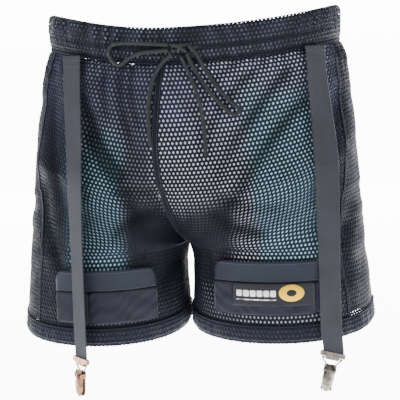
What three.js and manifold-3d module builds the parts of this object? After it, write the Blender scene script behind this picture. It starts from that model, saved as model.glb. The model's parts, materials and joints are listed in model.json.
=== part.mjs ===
// Mesh hockey jock shorts with drawstring waist, two clip-on sock garters, hook-and-loop sock
// tabs and a removable protective cup. Millimetres, +Z up, the wearer faces -Y, so the wearer's
// left is +X. The origin is the middle of the waist opening, level with the side of the rim.
import * as THREE from "three";
import { mergeVertices } from "three/addons/utils/BufferGeometryUtils.js";
import Module from "manifold-3d";

const wasm = await Module();
wasm.setup();

// ---- Driving dimensions ----
const GAP = 0.4; // clearance between neighbouring pieces
const WAIST_HALF_WIDTH = 175.5;
const WAIST_FRONT_DEPTH = 100;
const WAIST_BACK_DEPTH = 92;
const WAIST_FRONT_DIP = 21; // the rim is lower at the centre front than at the sides
const WAIST_BACK_DIP = 24;
const BAND_HEIGHT = 40;
const BAND_DEPTH = 10; // outside to inside of the puffy casing
const BAND_WALL = 1.0;
const HEM_HALF_WIDTH = 211;
const HIP_FLARE = 7; // the cloth stands out this much wider than the waist just below the band
const SIDE_LENGTH = 313; // waist seam to hem seam, down the side
const CROTCH_DROP = 276; // origin to crotch point
const CROTCH_SHARE = (CROTCH_DROP - BAND_HEIGHT + 2) / SIDE_LENGTH; // how far down the side it sits
const LEG_GAP = 5; // between the two inseams
const THIGH_DEPTH = 112; // front of the thigh from the side seam plane
const SEAT_DEPTH = 118;
const HEM_FRONT_DEPTH = 103;
const HEM_BACK_DEPTH = 94;
const HEM_FRONT_DIP = 18;
const HEM_BACK_DIP = 4;
const HEM_HEIGHT = 20;
const CLOTH = 1.2;
const LINER_CLOTH = 0.8;
const SIDE_PANEL_START = 0.78; // share of a half row at which the side panel starts
const SEAM_SHIFT = 42; // the centre front seam is pulled this far towards the wearer's right
const LEAN = 5; // the legs hang this far towards the wearer's right
const INSEAM_SHIFT = 9; // and the inseams this much further
const CUP_BULGE = 16;

const STRAP_TOP_X = { left: 149, right: -138 }; // where each garter leaves the waist seam
const STRAP_HANG_X = { left: 160, right: -132 }; // and where it hangs
const STRAP_WIDTH = 29;
const STRAP_END_WIDTH = 24.5;
const STRAP_THICKNESS = 1.4;
const STRAP_BELOW_HEM = 35;
const STRAP_DROP = BAND_HEIGHT + SIDE_LENGTH + HEM_HEIGHT + STRAP_BELOW_HEM; // origin to the clip
const STRAP_TWIST = { left: 0, right: -46 }; // degrees the hanging strap has turned at the clip
const CLIP_TILT = { left: 13, right: 6 }; // degrees the clip leans in its own plane
const CLIP_WIDTH = 29.5;
const CLIP_BAR = 6.5; // height of the crimped bar over the pivot wire
const PIVOT_WIRE = 1.9;
const JAW_WIDTH = 13;
const JAW_LENGTH = 24;
const JAW_PIVOT_DROP = 14; // clip pivot to jaw pivot

const TAB_INNER = 37; // centre front to the inner end of a sock tab
const TAB_WIDTH = 119;
const TAB_RISE = { left: 67, right: 61 }; // hem seam up to each tab's top edge
const TAB_HEIGHT = 54;
const TAB_STRIP = 22; // height of the tab's fixed upper strip
const TAB_FREE_COLUMNS = { left: 11, right: 8 }; // of each tab's 12 columns, those whose flap peels open
const TAB_LIFT = 1.7; // clear of the panel
const TAB_CLOTH = 1.0;
const FLAP_CLOTH = 1.4;
const HOOK_CLOTH = 0.9;
const PATCH_CLOTH = 0.7;

const CORD = 4.6;
const CORD_UP = 15.5; // height of the drawstring tunnel above the waist seam
const KNOT = { x: -6, z: CORD_UP - BAND_HEIGHT - WAIST_FRONT_DIP, size: [17, 11, 12] };
const EXIT_SPREAD = 11; // knot to each buttonhole
const BUTTONHOLE = 6.4;

const CUP = { z: -186, y: -52, halfWidth: 44, halfHeight: 64, depth: 33, wall: 3 };

// ---- Small helpers ----
const clamp01 = (t) => Math.min(1, Math.max(0, t));
const mix = (a, b, t) => a + (b - a) * t;
const smooth = (t) => {
  const c = clamp01(t);
  return c * c * (3 - 2 * c);
};
const vec = (x, y, z) => new THREE.Vector3(x, y, z);
const steps = (from, to, count) =>
  Array.from({ length: count + 1 }, (_, i) => mix(from, to, i / count));

// Joins closed cross-sections of equal length into one solid. A ring's last section meets its first.
function loft(sections, ring = false) {
  const count = sections[0].length;
  const rows = sections.length;
  const index = [];
  const at = (row, i) => (row % rows) * count + (i % count);
  for (let row = 0; row < (ring ? rows : rows - 1); row++) {
    for (let i = 0; i < count; i++) {
      const [a, b, c, d] = [at(row, i), at(row, i + 1), at(row + 1, i + 1), at(row + 1, i)];
      // Both faces of a sheet are split along the same diagonal, so that stacked sheets stay apart.
      index.push(...(i < count / 2 ? [a, b, c, a, c, d] : [a, b, d, b, c, d]));
    }
  }
  if (!ring) {
    for (const [row, turn] of [[0, 1], [rows - 1, 0]]) {
      for (let i = 0; i < count / 2 - 1; i++) {
        const [a, b, c, d] = [i, i + 1, count - 2 - i, count - 1 - i].map((k) => at(row, k));
        index.push(...(turn ? [a, c, b] : [a, b, c]));
        index.push(...(turn ? [a, d, c] : [a, c, d]));
      }
    }
  }
  const positions = new Float32Array(sections.flat().flatMap((p) => [p.x, p.y, p.z]));
  return facingOut(positions, index);
}

// Turns every face round if the closed surface points inwards.
function facingOut(positions, index) {
  let volume = 0;
  const p = (i) => vec(positions[3 * i], positions[3 * i + 1], positions[3 * i + 2]);
  for (let i = 0; i < index.length; i += 3) {
    const [a, b, c] = [p(index[i]), p(index[i + 1]), p(index[i + 2])];
    volume += a.dot(b.cross(c));
  }
  if (volume < 0) {
    for (let i = 0; i < index.length; i += 3) {
      [index[i + 1], index[i + 2]] = [index[i + 2], index[i + 1]];
    }
  }
  return new THREE.BufferGeometry()
    .setAttribute("position", new THREE.BufferAttribute(positions, 3))
    .setIndex(index);
}

// A thin curved sheet: point(u, v) and its outward normal, from one offset to another.
function sheet(surface, uStops, vStops, inner, outer) {
  const sections = vStops.map((v) => {
    const out = uStops.map((u) => offsetPoint(surface, u, v, outer));
    const back = uStops.map((u) => offsetPoint(surface, u, v, inner)).reverse();
    return [...out, ...back];
  });
  return loft(sections);
}

function offsetPoint(surface, u, v, distance) {
  const step = 0.002;
  const p = surface(u, v);
  const du = surface(u + step, v).sub(surface(u - step, v));
  const dv = surface(u, v + step).sub(surface(u, v - step));
  const normal = dv.cross(du).normalize();
  return drape(p.add(normal.multiplyScalar(distance)));
}

function toSolid(geometry) {
  const bare = new THREE.BufferGeometry()
    .setAttribute("position", geometry.getAttribute("position"))
    .setIndex(geometry.getIndex());
  const merged = mergeVertices(bare, 1e-4);
  return new wasm.Manifold(
    new wasm.Mesh({
      numProp: 3,
      vertProperties: merged.attributes.position.array,
      triVerts: new Uint32Array(merged.index.array),
    }),
  );
}

function toGeometry(solid) {
  const mesh = solid.getMesh();
  const positions = new Float32Array(mesh.numVert * 3);
  for (let i = 0; i < mesh.numVert; i++) {
    const start = i * mesh.numProp;
    positions.set(mesh.vertProperties.subarray(start, start + 3), i * 3);
  }
  return new THREE.BufferGeometry()
    .setAttribute("position", new THREE.BufferAttribute(positions, 3))
    .setIndex(new THREE.BufferAttribute(mesh.triVerts, 1));
}

const cut = (geometry, ...cutters) =>
  toGeometry(cutters.reduce((left, c) => left.subtract(toSolid(c)), toSolid(geometry)));

const join = (...geometries) =>
  toGeometry(geometries.map(toSolid).reduce((all, one) => all.add(one)));

// ---- The garment's surface ----
// v runs down from the waist seam (0) to the hem seam (1); u runs round each half row from the
// centre seam or inseam (0) to the side (1). A half row is one Bezier arc seen from above.
const ARC = 0.5523; // control length of a quarter circle
const FULL_ARC = 0.64; // control length of a squarer corner, round the hips
const HALF_ARC = 4 / 3; // control length of a half circle drawn with one cubic
const bezier = (u) => [(1 - u) ** 3, 3 * u * (1 - u) ** 2, 3 * u * u * (1 - u), u ** 3];

function halfRow(v, front) {
  const crotch = CROTCH_SHARE;
  const share = clamp01(v / crotch);
  const turn = (share * Math.PI) / 2;
  const waist = front ? WAIST_FRONT_DEPTH : WAIST_BACK_DEPTH;
  const middle = front ? THIGH_DEPTH : SEAT_DEPTH;
  const hem = front ? HEM_FRONT_DEPTH : HEM_BACK_DEPTH;
  const neck = 5 * Math.exp(-Math.max(0, v) / 0.03);
  const lower = mix(middle, hem, smooth((v - 0.4) / 0.6));
  const depth = v < 0.4 ? mix(waist, middle, smooth(v / 0.4)) - neck : lower;
  const dip = front ? WAIST_FRONT_DIP : WAIST_BACK_DIP;
  const innerY = v < crotch ? depth * Math.cos(turn) ** 0.7 : 0;
  const inseam = (v - crotch) / (1 - crotch);
  const innerZ =
    v < crotch
      ? mix(-BAND_HEIGHT - dip, -CROTCH_DROP, Math.sin(turn) ** 1.1)
      : mix(-CROTCH_DROP, -BAND_HEIGHT - SIDE_LENGTH, inseam);
  const innerX = (LEG_GAP / 2) * smooth(inseam / 0.25);
  const flare = HIP_FLARE - (HIP_FLARE + 3) * Math.exp(-Math.max(0, v) / 0.03);
  const spread = HEM_HALF_WIDTH - WAIST_HALF_WIDTH - HIP_FLARE;
  const sideX = WAIST_HALF_WIDTH + flare + spread * Math.max(0, v) ** 0.8;
  const bend = smooth((share - 0.25) / 0.75);
  const angle = (bend * Math.PI) / 2;
  const corner = mix(ARC, FULL_ARC, smooth(v / 0.6));
  const reachSide = mix(corner * depth, HALF_ARC * depth, bend);
  const reachInner = mix(corner * (sideX - innerX), HALF_ARC * depth, bend);
  // Shortens the control arms so that the row is never deeper than its depth.
  const arms = steps(0.1, 0.9, 16).map((u) => {
    const b = bezier(u);
    const arm = b[1] * reachInner * Math.sin(angle) + b[2] * reachSide;
    return (depth - (b[0] + b[1]) * innerY) / arm;
  });
  const scale = Math.min(1, ...arms);
  return {
    innerX,
    innerY,
    innerZ,
    sideX,
    sideZ: -BAND_HEIGHT - v * SIDE_LENGTH,
    armX: reachInner * Math.cos(angle),
    armY: scale * reachInner * Math.sin(angle),
    sideArm: scale * reachSide,
    hemDip: (front ? HEM_FRONT_DIP : HEM_BACK_DIP) * clamp01(v) ** 3,
  };
}

// A point on the undraped garment: side is +1 for the wearer's left and -1 for the right.
function bodyPoint(side, front, u, v) {
  const row = halfRow(v, front);
  const b = bezier(u);
  const x = b[0] * row.innerX + b[1] * (row.innerX + row.armX) + (b[2] + b[3]) * row.sideX;
  const y = b[0] * row.innerY + b[1] * (row.innerY + row.armY) + b[2] * row.sideArm;
  const z = mix(row.innerZ, row.sideZ, smooth(u)) - row.hemDip * Math.sin(Math.PI * clamp01(u)) ** 0.7;
  return vec(side * x, front ? -y : y, z);
}

// The cup pushes the front out, and the centre seam is pulled towards the wearer's right.
function drape(p) {
  const down = clamp01((-BAND_HEIGHT - p.z) / (CROTCH_DROP - BAND_HEIGHT));
  const near = Math.max(0, 1 - Math.abs(p.x) / 150) ** 2;
  const x = p.x - LEAN * down - INSEAM_SHIFT * down ** 2 * near;
  const frontness = smooth(-p.y / 60);
  const shift = SEAM_SHIFT * (0.62 + 0.5 * down) * (1 - down ** 3);
  const bulge = Math.exp(-((p.x / 58) ** 2) - ((p.z + 0.62 * CROTCH_DROP) / 75) ** 2);
  return vec(x - shift * near * frontness, p.y - CUP_BULGE * bulge * frontness, p.z);
}

// Half-row surfaces whose outward normal comes out the same way round on all four quarters.
function quarter(side, front) {
  const flip = side * (front ? 1 : -1);
  return flip > 0
    ? (u, v) => bodyPoint(side, front, u, v)
    : (u, v) => bodyPoint(side, front, -u, v);
}

// The side panel's surface: w runs from the front half (-1) over the side (0) to the back (+1).
const sidePoint = (side) => (w, v) => {
  const turned = side > 0 ? w : -w;
  return bodyPoint(side, turned < 0, 1 - Math.abs(turned), v);
};

const quarterStops = (side, front, from, to, count) => {
  const flip = side * (front ? 1 : -1);
  return flip > 0 ? steps(from, to, count) : steps(-to, -from, count);
};

// ---- Materials ----
const finish = (color, roughness, metalness = 0) =>
  new THREE.MeshStandardMaterial({ color, roughness, metalness });
const meshCloth = finish(0x3a3a46, 0.75);
const plainCloth = finish(0x2c2c38, 0.8);
const webbing = finish(0x4a4a52, 0.7);
const nickel = finish(0xc8b898, 0.25, 1.0);
const paleCloth = finish(0xd8e0e4, 0.85);
const whiteCloth = finish(0xeeeef4, 0.85);
const plastic = finish(0xf0f0f0, 0.45);
const rubber = finish(0x303034, 0.8);
const cordBraid = finish(0x3c3e42, 0.75);

const garment = new THREE.Group();
function add(name, geometry, material, parent = garment) {
  const mesh = new THREE.Mesh(geometry, material);
  mesh.name = name;
  parent.add(mesh);
  return mesh;
}

// ---- Body panels, liners and hems ----
const EDGE = 0.003; // half a seam's gap, as a share of a half row
const SIDES = [["left", 1], ["right", -1]];
const ROW_STEP = 19.6; // the longest step between a panel's rows
const PANEL_ROWS = steps(GAP / SIDE_LENGTH, 1 - GAP / SIDE_LENGTH, Math.ceil(SIDE_LENGTH / ROW_STEP));

for (const [name, side] of SIDES) {
  for (const [where, front] of [["front", true], ["back", false]]) {
    const surface = quarter(side, front);
    const across = quarterStops(side, front, EDGE, SIDE_PANEL_START - EDGE, 14);
    add(`${where}_panel_${name}`, sheet(surface, across, PANEL_ROWS, -CLOTH, 0), meshCloth);
    if (front) {
      const deep = -CLOTH - GAP;
      const lined = across.slice(1, 14);
      const rows = PANEL_ROWS.slice(1, -3);
      add(`liner_${name}`, sheet(surface, lined, rows, deep - LINER_CLOTH, deep), paleCloth);
    }
  }
  const reach = 1 - SIDE_PANEL_START - EDGE;
  const round = steps(-reach, reach, 8);
  add(`side_panel_${name}`, sheet(sidePoint(side), round, PANEL_ROWS, -CLOTH, 0), plainCloth);
}

// One whole leg: t runs from the inseam round the front to the side (0.5) and back.
const legPoint = (side) => (t, v) => {
  const turned = ((side > 0 ? t : -t) % 1 + 1) % 1;
  return bodyPoint(side, turned < 0.5, turned < 0.5 ? 2 * turned : 2 - 2 * turned, v);
};

const hemV = (down) => 1 + down / SIDE_LENGTH;
const HEM_SECTION = [
  [0.8, GAP], [1.5, 2.5], [1.2, HEM_HEIGHT - 2], [-0.5, HEM_HEIGHT], [-2.2, HEM_HEIGHT - 2], [-2.2, GAP],
];
for (const [name, side] of SIDES) {
  const leg = legPoint(side);
  const stops = steps(0, 1, 44).slice(0, -1);
  const rings = stops.map((t) => HEM_SECTION.map(([out, down]) => offsetPoint(leg, t, hemV(down), out)));
  add(`hem_band_${name}`, loft(rings, true), plainCloth);
}

// The gusset is a strip that follows the crotch seam from front to back, just inside it.
function centreSeam(v, front) {
  const row = halfRow(v, front);
  return vec(0, front ? -row.innerY : row.innerY, row.innerZ);
}
const GUSSET = { start: 0.58, halfWidth: 15, lift: 3.2, cloth: 1.2 };
{
  const under = steps(GUSSET.start, CROTCH_SHARE - 0.004, 7);
  const line = [
    ...under.map((v) => centreSeam(v, true)),
    ...under.map((v) => centreSeam(v, false)).reverse(),
  ];
  const sections = line.map((p, i) => {
    const along = line[Math.min(i + 1, line.length - 1)].clone().sub(line[Math.max(i - 1, 0)]);
    const inward = vec(1, 0, 0).cross(along).normalize();
    const corner = (x, lift) => p.clone().add(vec(x, 0, 0)).addScaledVector(inward, lift);
    const low = GUSSET.lift;
    const high = low + GUSSET.cloth;
    const w = GUSSET.halfWidth;
    return [corner(-w, low), corner(0, low), corner(w, low), corner(w, high), corner(0, high),
      corner(-w, high)].map((q) => drape(q));
  });
  add("crotch_gusset", loft(sections), plainCloth);
}

// ---- Waistband: folded casing, elastic, tunnel and drawstring ----
// t runs once round the waist from the centre front over the wearer's left side.
function waistSeam(t) {
  const turned = ((t % 1) + 1) % 1;
  const quarterIndex = Math.floor(turned * 4);
  const part = turned * 4 - quarterIndex;
  const side = quarterIndex < 2 ? 1 : -1;
  const front = quarterIndex === 0 || quarterIndex === 3;
  return bodyPoint(side, front, quarterIndex % 2 === 0 ? part : 1 - part, 0);
}

function bandPoint(t, out, up) {
  const along = waistSeam(t + 0.001).sub(waistSeam(t - 0.001));
  const outward = vec(along.y, -along.x, 0).normalize();
  return drape(waistSeam(t).addScaledVector(outward, out).add(vec(0, 0, up)));
}

const ringOf = (section, count) =>
  loft(
    steps(0, 1, count)
      .slice(0, -1)
      .map((t) => section.map(([out, up]) => bandPoint(t, out, up))),
    true,
  );

const bandOut = BAND_DEPTH / 2 - 0.2;
const bandIn = bandOut - BAND_DEPTH;
const CASING_SECTION = [
  [bandOut - 2.4, GAP], [bandOut - 0.4, 9], [bandOut, 22], [bandOut - 0.6, 35], [bandOut - 2.6, BAND_HEIGHT],
  [bandIn + 2.2, BAND_HEIGHT], [bandIn, 36], [bandIn, GAP], [bandIn + BAND_WALL, GAP],
  [bandIn + BAND_WALL, 35.4], [bandIn + 2.8, BAND_HEIGHT - BAND_WALL],
  [bandOut - 3.2, BAND_HEIGHT - BAND_WALL], [bandOut - 1.6, 34.5], [bandOut - BAND_WALL, 22],
  [bandOut - BAND_WALL - 0.4, 9], [bandOut - BAND_WALL - 2.4, GAP],
];
const exits = SIDES.map(([, side]) => KNOT.x + side * EXIT_SPREAD);

// The frontmost cloth near a point seen from the front; cords and straps are laid over it.
const FRONT = [];
for (const [, side] of SIDES) {
  for (const u of steps(0, 1, 60)) {
    for (const v of steps(0, hemV(HEM_HEIGHT), 90)) {
      FRONT.push(offsetPoint(quarter(side, true), side > 0 ? u : -u, v, v > 1 ? 1.5 : 0));
    }
  }
}
for (const t of steps(-0.25, 0.25, 160)) {
  for (const up of steps(0, BAND_HEIGHT, 9)) FRONT.push(bandPoint(t, bandOut - (up < 3 ? 2 : 0), up));
}
function frontY(x, z, radius = 6) {
  const near = FRONT.filter((p) => Math.abs(p.x - x) < radius && Math.abs(p.z - z) < radius);
  return Math.min(...near.map((p) => p.y));
}

const knotFront = frontY(KNOT.x, KNOT.z);
const elasticOut = bandOut - BAND_WALL - CORD - 2 * GAP - 0.2;
const ELASTIC_SECTION = [
  [elasticOut, 2], [elasticOut, 33], [elasticOut - 1.6, 33], [elasticOut - 1.6, 2],
];
add("waist_elastic", ringOf(ELASTIC_SECTION, 60), whiteCloth);

const polygon = (radius, sides) =>
  new THREE.Shape(
    steps(0, 2 * Math.PI, sides)
      .slice(0, -1)
      .map((a) => new THREE.Vector2(radius * Math.cos(a), radius * Math.sin(a))),
  );
function tube(points, diameter, count, sides = 8) {
  const path = new THREE.CatmullRomCurve3(points, false, "centripetal");
  const options = { steps: count, bevelEnabled: false, extrudePath: path };
  return new THREE.ExtrudeGeometry(polygon(diameter / 2, sides), options);
}

// The hidden run of the drawstring: in at one buttonhole, round the back, out at the other.
const cordOut = bandOut - BAND_WALL - CORD / 2 - GAP;
const waistT = (x) => {
  const near = steps(-0.2, 0.2, 400).map((t) => [t, Math.abs(bandPoint(t, 0, 0).x - x)]);
  return near.reduce((best, one) => (one[1] < best[1] ? one : best))[0];
};
const [leftExitT, rightExitT] = exits.map(waistT);
const hidden = steps(leftExitT + 0.012, 1 + rightExitT - 0.012, 44).map((t) =>
  bandPoint(t, cordOut, CORD_UP + 0.4),
);
const exitPoint = (x, forward = 0) => vec(x, knotFront + 0.2 - forward, KNOT.z);
// The buttonholes follow the cord, which leaves the tunnel on a slant.
const buttonholes = [hidden.slice(0, 2), hidden.slice(-2).reverse()].map((inside, i) =>
  tube([exitPoint(exits[i], 8), exitPoint(exits[i]), ...inside], BUTTONHOLE, 14),
);
add("waistband_casing", cut(ringOf(CASING_SECTION, 60), ...buttonholes), plainCloth);
add("drawstring_tunnel", tube([exitPoint(exits[0]), ...hidden, exitPoint(exits[1])], CORD, 66), cordBraid);

const knotY = knotFront - GAP - KNOT.size[1] / 2;
const knot = new THREE.SphereGeometry(0.5, 14, 10).scale(...KNOT.size);
add("bow_knot", knot.translate(KNOT.x, knotY, KNOT.z), cordBraid);

// Cord runs drawn on the front of the cloth as x, z and the lift off it.
const onCloth = ([x, z, lift = 0]) =>
  vec(KNOT.x + x, frontY(KNOT.x + x, KNOT.z + z) - GAP - CORD / 2 - lift, KNOT.z + z);
const RUNS = {
  bow_loop_right: [
    [-11.5, 4, 3.2], [-34, 6, 1], [-62, 8], [-79, 6], [-83, -2], [-78, -13], [-70, -17], [-61, -11],
    [-48, -5], [-34, -3, 1], [-11.5, -2.4, 3.2],
  ],
  bow_loop_left: [
    [11.5, 3.4, 3.2], [19, -5, 3], [31, -28, 1], [46, -50], [61, -66], [68, -73], [62, -78], [55, -74],
    [39, -57], [23, -34, 1], [11.8, -12, 3], [10.2, -6.2, 3.2],
  ],
  cord_end_right: [[-7.6, -6.6, 3.2], [-20, -17, 1], [-31, -36], [-36, -62], [-36, -88], [-35, -110]],
  cord_end_left: [[2.5, -9.6, 3.2], [7, -19, 3], [15, -38, 2.6], [23, -62, 4.6], [27, -90], [28, -124]],
};
for (const [name, run] of Object.entries(RUNS)) {
  add(name, tube(run.map(onCloth), CORD, name.startsWith("bow") ? 48 : 28), cordBraid);
}

// ---- Garter straps ----
const TAB_STACK = TAB_LIFT + TAB_CLOTH + HOOK_CLOTH + FLAP_CLOTH + 2 * GAP;
const radians = THREE.MathUtils.degToRad;
// 1 where a strap passes over a tab, 0 well clear of it.
function tabDepth(name, z) {
  const top = BAND_HEIGHT + SIDE_LENGTH - TAB_RISE[name];
  return smooth((-top + 20 - z) / 8) * smooth((z + top + TAB_HEIGHT + HEM_FRONT_DIP + 8) / 8);
}

// The taut line over the cloth: the lower hull of the obstacles, as [z, y] pairs.
function taut(obstacles) {
  const hull = [];
  for (const p of obstacles) {
    while (hull.length > 1) {
      const [a, b] = hull.slice(-2);
      const turn = (b[0] - a[0]) * (p[1] - a[1]) - (b[1] - a[1]) * (p[0] - a[0]);
      if (turn < 0) break;
      hull.pop();
    }
    hull.push(p);
  }
  return (z) => {
    const next = Math.max(1, hull.findIndex(([at]) => at <= z));
    const [a, b] = [hull[next - 1], hull[next]];
    return mix(a[1], b[1], clamp01((z - a[0]) / (b[0] - a[0])));
  };
}

function strapLayout(name) {
  const top = bandPoint(waistT(STRAP_TOP_X[name]), 0, 0).z - 2;
  const x = (z) => mix(STRAP_TOP_X[name], STRAP_HANG_X[name], smooth((top - z) / 150));
  const width = (z) => mix(STRAP_WIDTH, STRAP_END_WIDTH, smooth((-z - 150) / 150));
  // At the waist the strap lies flat on the cloth; lower down it hangs and turns.
  const seamT = waistT(STRAP_TOP_X[name]);
  const [before, after] = [-0.01, 0.01].map((dt) => bandPoint(seamT + dt, 0, 0));
  const flat = Math.atan2(after.y - before.y, after.x - before.x);
  const twist = (z) => mix(flat, radians(STRAP_TWIST[name]), smooth((-z - 60) / 210));
  const obstacle = (z) => {
    const turn = twist(z);
    const across = steps(-width(z) / 2, width(z) / 2, 4);
    const clear = across.map((s) => frontY(x(z) + s * Math.cos(turn), z, 5.5) - s * Math.sin(turn));
    return Math.min(...clear) - STRAP_THICKNESS / 2 - 0.8 - TAB_STACK * tabDepth(name, z);
  };
  const hemEnd = -BAND_HEIGHT - SIDE_LENGTH - HEM_HEIGHT - 6;
  const points = steps(top, hemEnd, 40).map((z) => [z, obstacle(z)]);
  const front = Math.min(...points.map((p) => p[1]));
  const line = taut([...points.filter(([z]) => z > hemEnd + 1), [-STRAP_DROP, front]]);
  return { x, top, width, twist, line };
}

const clipPlace = (name, layout) =>
  new THREE.Matrix4()
    .makeTranslation(STRAP_HANG_X[name], layout.line(-STRAP_DROP), -STRAP_DROP)
    .multiply(new THREE.Matrix4().makeRotationZ(radians(STRAP_TWIST[name])))
    .multiply(new THREE.Matrix4().makeRotationY(radians(CLIP_TILT[name])));

const rectangle = (w, t, z = 0) =>
  [[-w, -t], [0, -t], [w, -t], [w, t], [0, t], [-w, t]].map(([x, y]) => vec(x / 2, y / 2, z));
function strapSolid(layout, place) {
  const hang = steps(layout.top, -STRAP_DROP + 34, 26).map((z) => {
    const turn = new THREE.Matrix4().makeRotationZ(layout.twist(z));
    const at = vec(layout.x(z), layout.line(z), z);
    return rectangle(layout.width(z), STRAP_THICKNESS).map((p) => p.applyMatrix4(turn).add(at));
  });
  const held = [9, 2].map((z) =>
    rectangle(STRAP_END_WIDTH, STRAP_THICKNESS, z).map((p) => p.applyMatrix4(place)),
  );
  return loft([...hang, ...held]);
}

// ---- Clips, each built round its pivot wire with the jaws pointing down ----
const box = (w, d, h, x, y, z) => new THREE.BoxGeometry(w, d, h).translate(x, y, z);
const cylinderX = (radius, length, x, y, z, sides = 16) =>
  new THREE.CylinderGeometry(radius, radius, length, sides).rotateZ(Math.PI / 2).translate(x, y, z);
function rod(a, b, radius) {
  const along = b.clone().sub(a);
  const turn = new THREE.Quaternion().setFromUnitVectors(vec(0, 1, 0), along.clone().normalize());
  const middle = a.clone().add(b).multiplyScalar(0.5);
  return new THREE.CylinderGeometry(radius, radius, along.length(), 10)
    .applyQuaternion(turn)
    .translate(middle.x, middle.y, middle.z);
}
const ball = (radius, at) => new THREE.SphereGeometry(radius, 8, 6).translate(at.x, at.y, at.z);

const JAW_PIN = 1.8;
const PIN_HOLE = JAW_PIN / 2 + GAP;
const pinAt = vec(0, -2.2, -JAW_PIVOT_DROP);
const lugWidth = 16;
const bailTop = 11.5;
const bailFoot = vec(4.6, 1.2, -9);
const jawBottom = -JAW_PIVOT_DROP - JAW_LENGTH;

function crimpGeometry() {
  const slotWidth = STRAP_END_WIDTH + 2 * GAP;
  const slotDepth = STRAP_THICKNESS + 2 * GAP;
  const bar = box(CLIP_WIDTH, 4.2, CLIP_BAR - 1, 0, 0, 1.6 + (CLIP_BAR - 1) / 2);
  const lug = box(lugWidth, 4.0, 4.2, 0, 0, 0.2);
  const slot = box(slotWidth, slotDepth, CLIP_BAR + 2, 0, 0, 2 - GAP + (CLIP_BAR + 2) / 2);
  return cut(join(bar, lug), slot, cylinderX(PIVOT_WIRE / 2 + GAP, lugWidth + 2, 0, 0, 0));
}

function clipFrameGeometry() {
  const corners = [-1, 1].map((s) => vec(s * bailTop, 0, 0));
  const feet = [-1, 1].map((s) => vec(s * bailFoot.x, bailFoot.y, bailFoot.z));
  const wire = PIVOT_WIRE / 2;
  const bail = [
    rod(corners[0], corners[1], wire), rod(corners[0], feet[0], wire), rod(corners[1], feet[1], wire),
    ...corners.map((c) => ball(wire * 1.02, c)),
  ];
  const plate = box(14.8, 1.3, 8.6, 0, 1.9, -12.6);
  const ears = [-1, 1].map((s) => box(1.0, 7, 5, s * 6.9, -1, -JAW_PIVOT_DROP));
  const collar = box(11, 1.4, 2.4, 0, 1.9, -9.2);
  const profile = new THREE.Shape(
    [[1.3, -12], [2.5, -12], [2.9, jawBottom + 3.5], [0.2, jawBottom], [-0.5, jawBottom + 0.8],
      [1.7, jawBottom + 4]].map(([y, z]) => new THREE.Vector2(y, z)),
  );
  // The profile's own x is y in the clip and its own y is z, swept along the clip's x.
  const sweep = new THREE.ExtrudeGeometry(profile, { depth: JAW_WIDTH, bevelEnabled: false })
    .applyMatrix4(new THREE.Matrix4().set(0, 0, 1, -JAW_WIDTH / 2, 1, 0, 0, 0, 0, 1, 0, 0, 0, 0, 0, 1));
  const holes = cylinderX(PIN_HOLE, 20, 0, pinAt.y, pinAt.z);
  return cut(join(...bail, plate, ...ears, collar, sweep), holes);
}

function clipJawGeometry() {
  const dome = (grow) =>
    new THREE.SphereGeometry(1, 18, 12)
      .scale(JAW_WIDTH / 2 + 0.6 + grow, 5.4 + grow, 16.4 + grow)
      .translate(0, -1, jawBottom + 14.5);
  const shell = cut(dome(0), dome(-1.1), box(30, 20, 60, 0, 10 - 1.3, -25));
  const barrel = cylinderX(2.1, 11.8, 0, pinAt.y, pinAt.z);
  const thumb = box(9, 1.2, 7, 0, 0, 0).rotateX(radians(-12)).translate(0, -4.4, pinAt.z + 4.2);
  return cut(join(shell, barrel, thumb), cylinderX(PIN_HOLE, 20, 0, pinAt.y, pinAt.z));
}

for (const [name] of SIDES) {
  const layout = strapLayout(name);
  const place = clipPlace(name, layout);
  const placed = (part, geometry, material) =>
    add(`${part}_${name}`, geometry.applyMatrix4(place), material);
  add(`strap_${name}`, strapSolid(layout, place), webbing);
  placed("strap_crimp", crimpGeometry(), nickel);
  placed("clip_frame", clipFrameGeometry(), nickel);
  placed("clip_pin", cylinderX(JAW_PIN / 2, 15.4, 0, pinAt.y, pinAt.z), nickel);
  placed("clip_pad", box(9, 1.5, 11, 0, 0.1, jawBottom + 10), rubber);
  placed("clip_jaw", clipJawGeometry(), nickel);
}

// ---- Sock tabs ----
const TAB_COLUMNS = 12;
const TAB_ROWS = 10;

// The share round the half row at which the cloth passes a given distance from the centre front.
function uAt(v, distance) {
  let [low, high] = [0, 1];
  for (let i = 0; i < 24; i++) {
    const middle = (low + high) / 2;
    if (bodyPoint(1, true, middle, v).x < distance) low = middle;
    else high = middle;
  }
  return low;
}

// A patch of the tab: columns and rows are shares of its width and height.
function tabSheet(name, side, columns, rows, inner, outer) {
  const surface = quarter(side, true);
  const sections = rows.map((row) => {
    const v = 1 - (TAB_RISE[name] - row * TAB_HEIGHT) / SIDE_LENGTH;
    const us = columns.map((c) => side * uAt(v, TAB_INNER + c * TAB_WIDTH));
    const face = us.map((u) => offsetPoint(surface, u, v, outer));
    const back = us.map((u) => offsetPoint(surface, u, v, inner)).reverse();
    return [...face, ...back];
  });
  return loft(sections);
}

const columnStops = steps(0, 1, TAB_COLUMNS);
const rowStops = steps(0, 1, TAB_ROWS);
const nudge = (stops, first, last) => stops.map((s, i) =>
  i === 0 ? s + first : i === stops.length - 1 ? s + last : s,
);
const stripRows = Math.round((TAB_STRIP / TAB_HEIGHT) * TAB_ROWS);
const gapColumn = (0.6 * GAP) / TAB_WIDTH;
const gapRow = (0.6 * GAP) / TAB_HEIGHT;
const freeColumns = (name) => columnStops.slice(0, TAB_FREE_COLUMNS[name] + 1);
const upperRows = rowStops.slice(0, stripRows + 1);
const lowerRows = rowStops.slice(stripRows);
const baseOut = TAB_LIFT + TAB_CLOTH;
const hookOut = baseOut + GAP + HOOK_CLOTH;
const flapOut = hookOut + GAP + FLAP_CLOTH;

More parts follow.
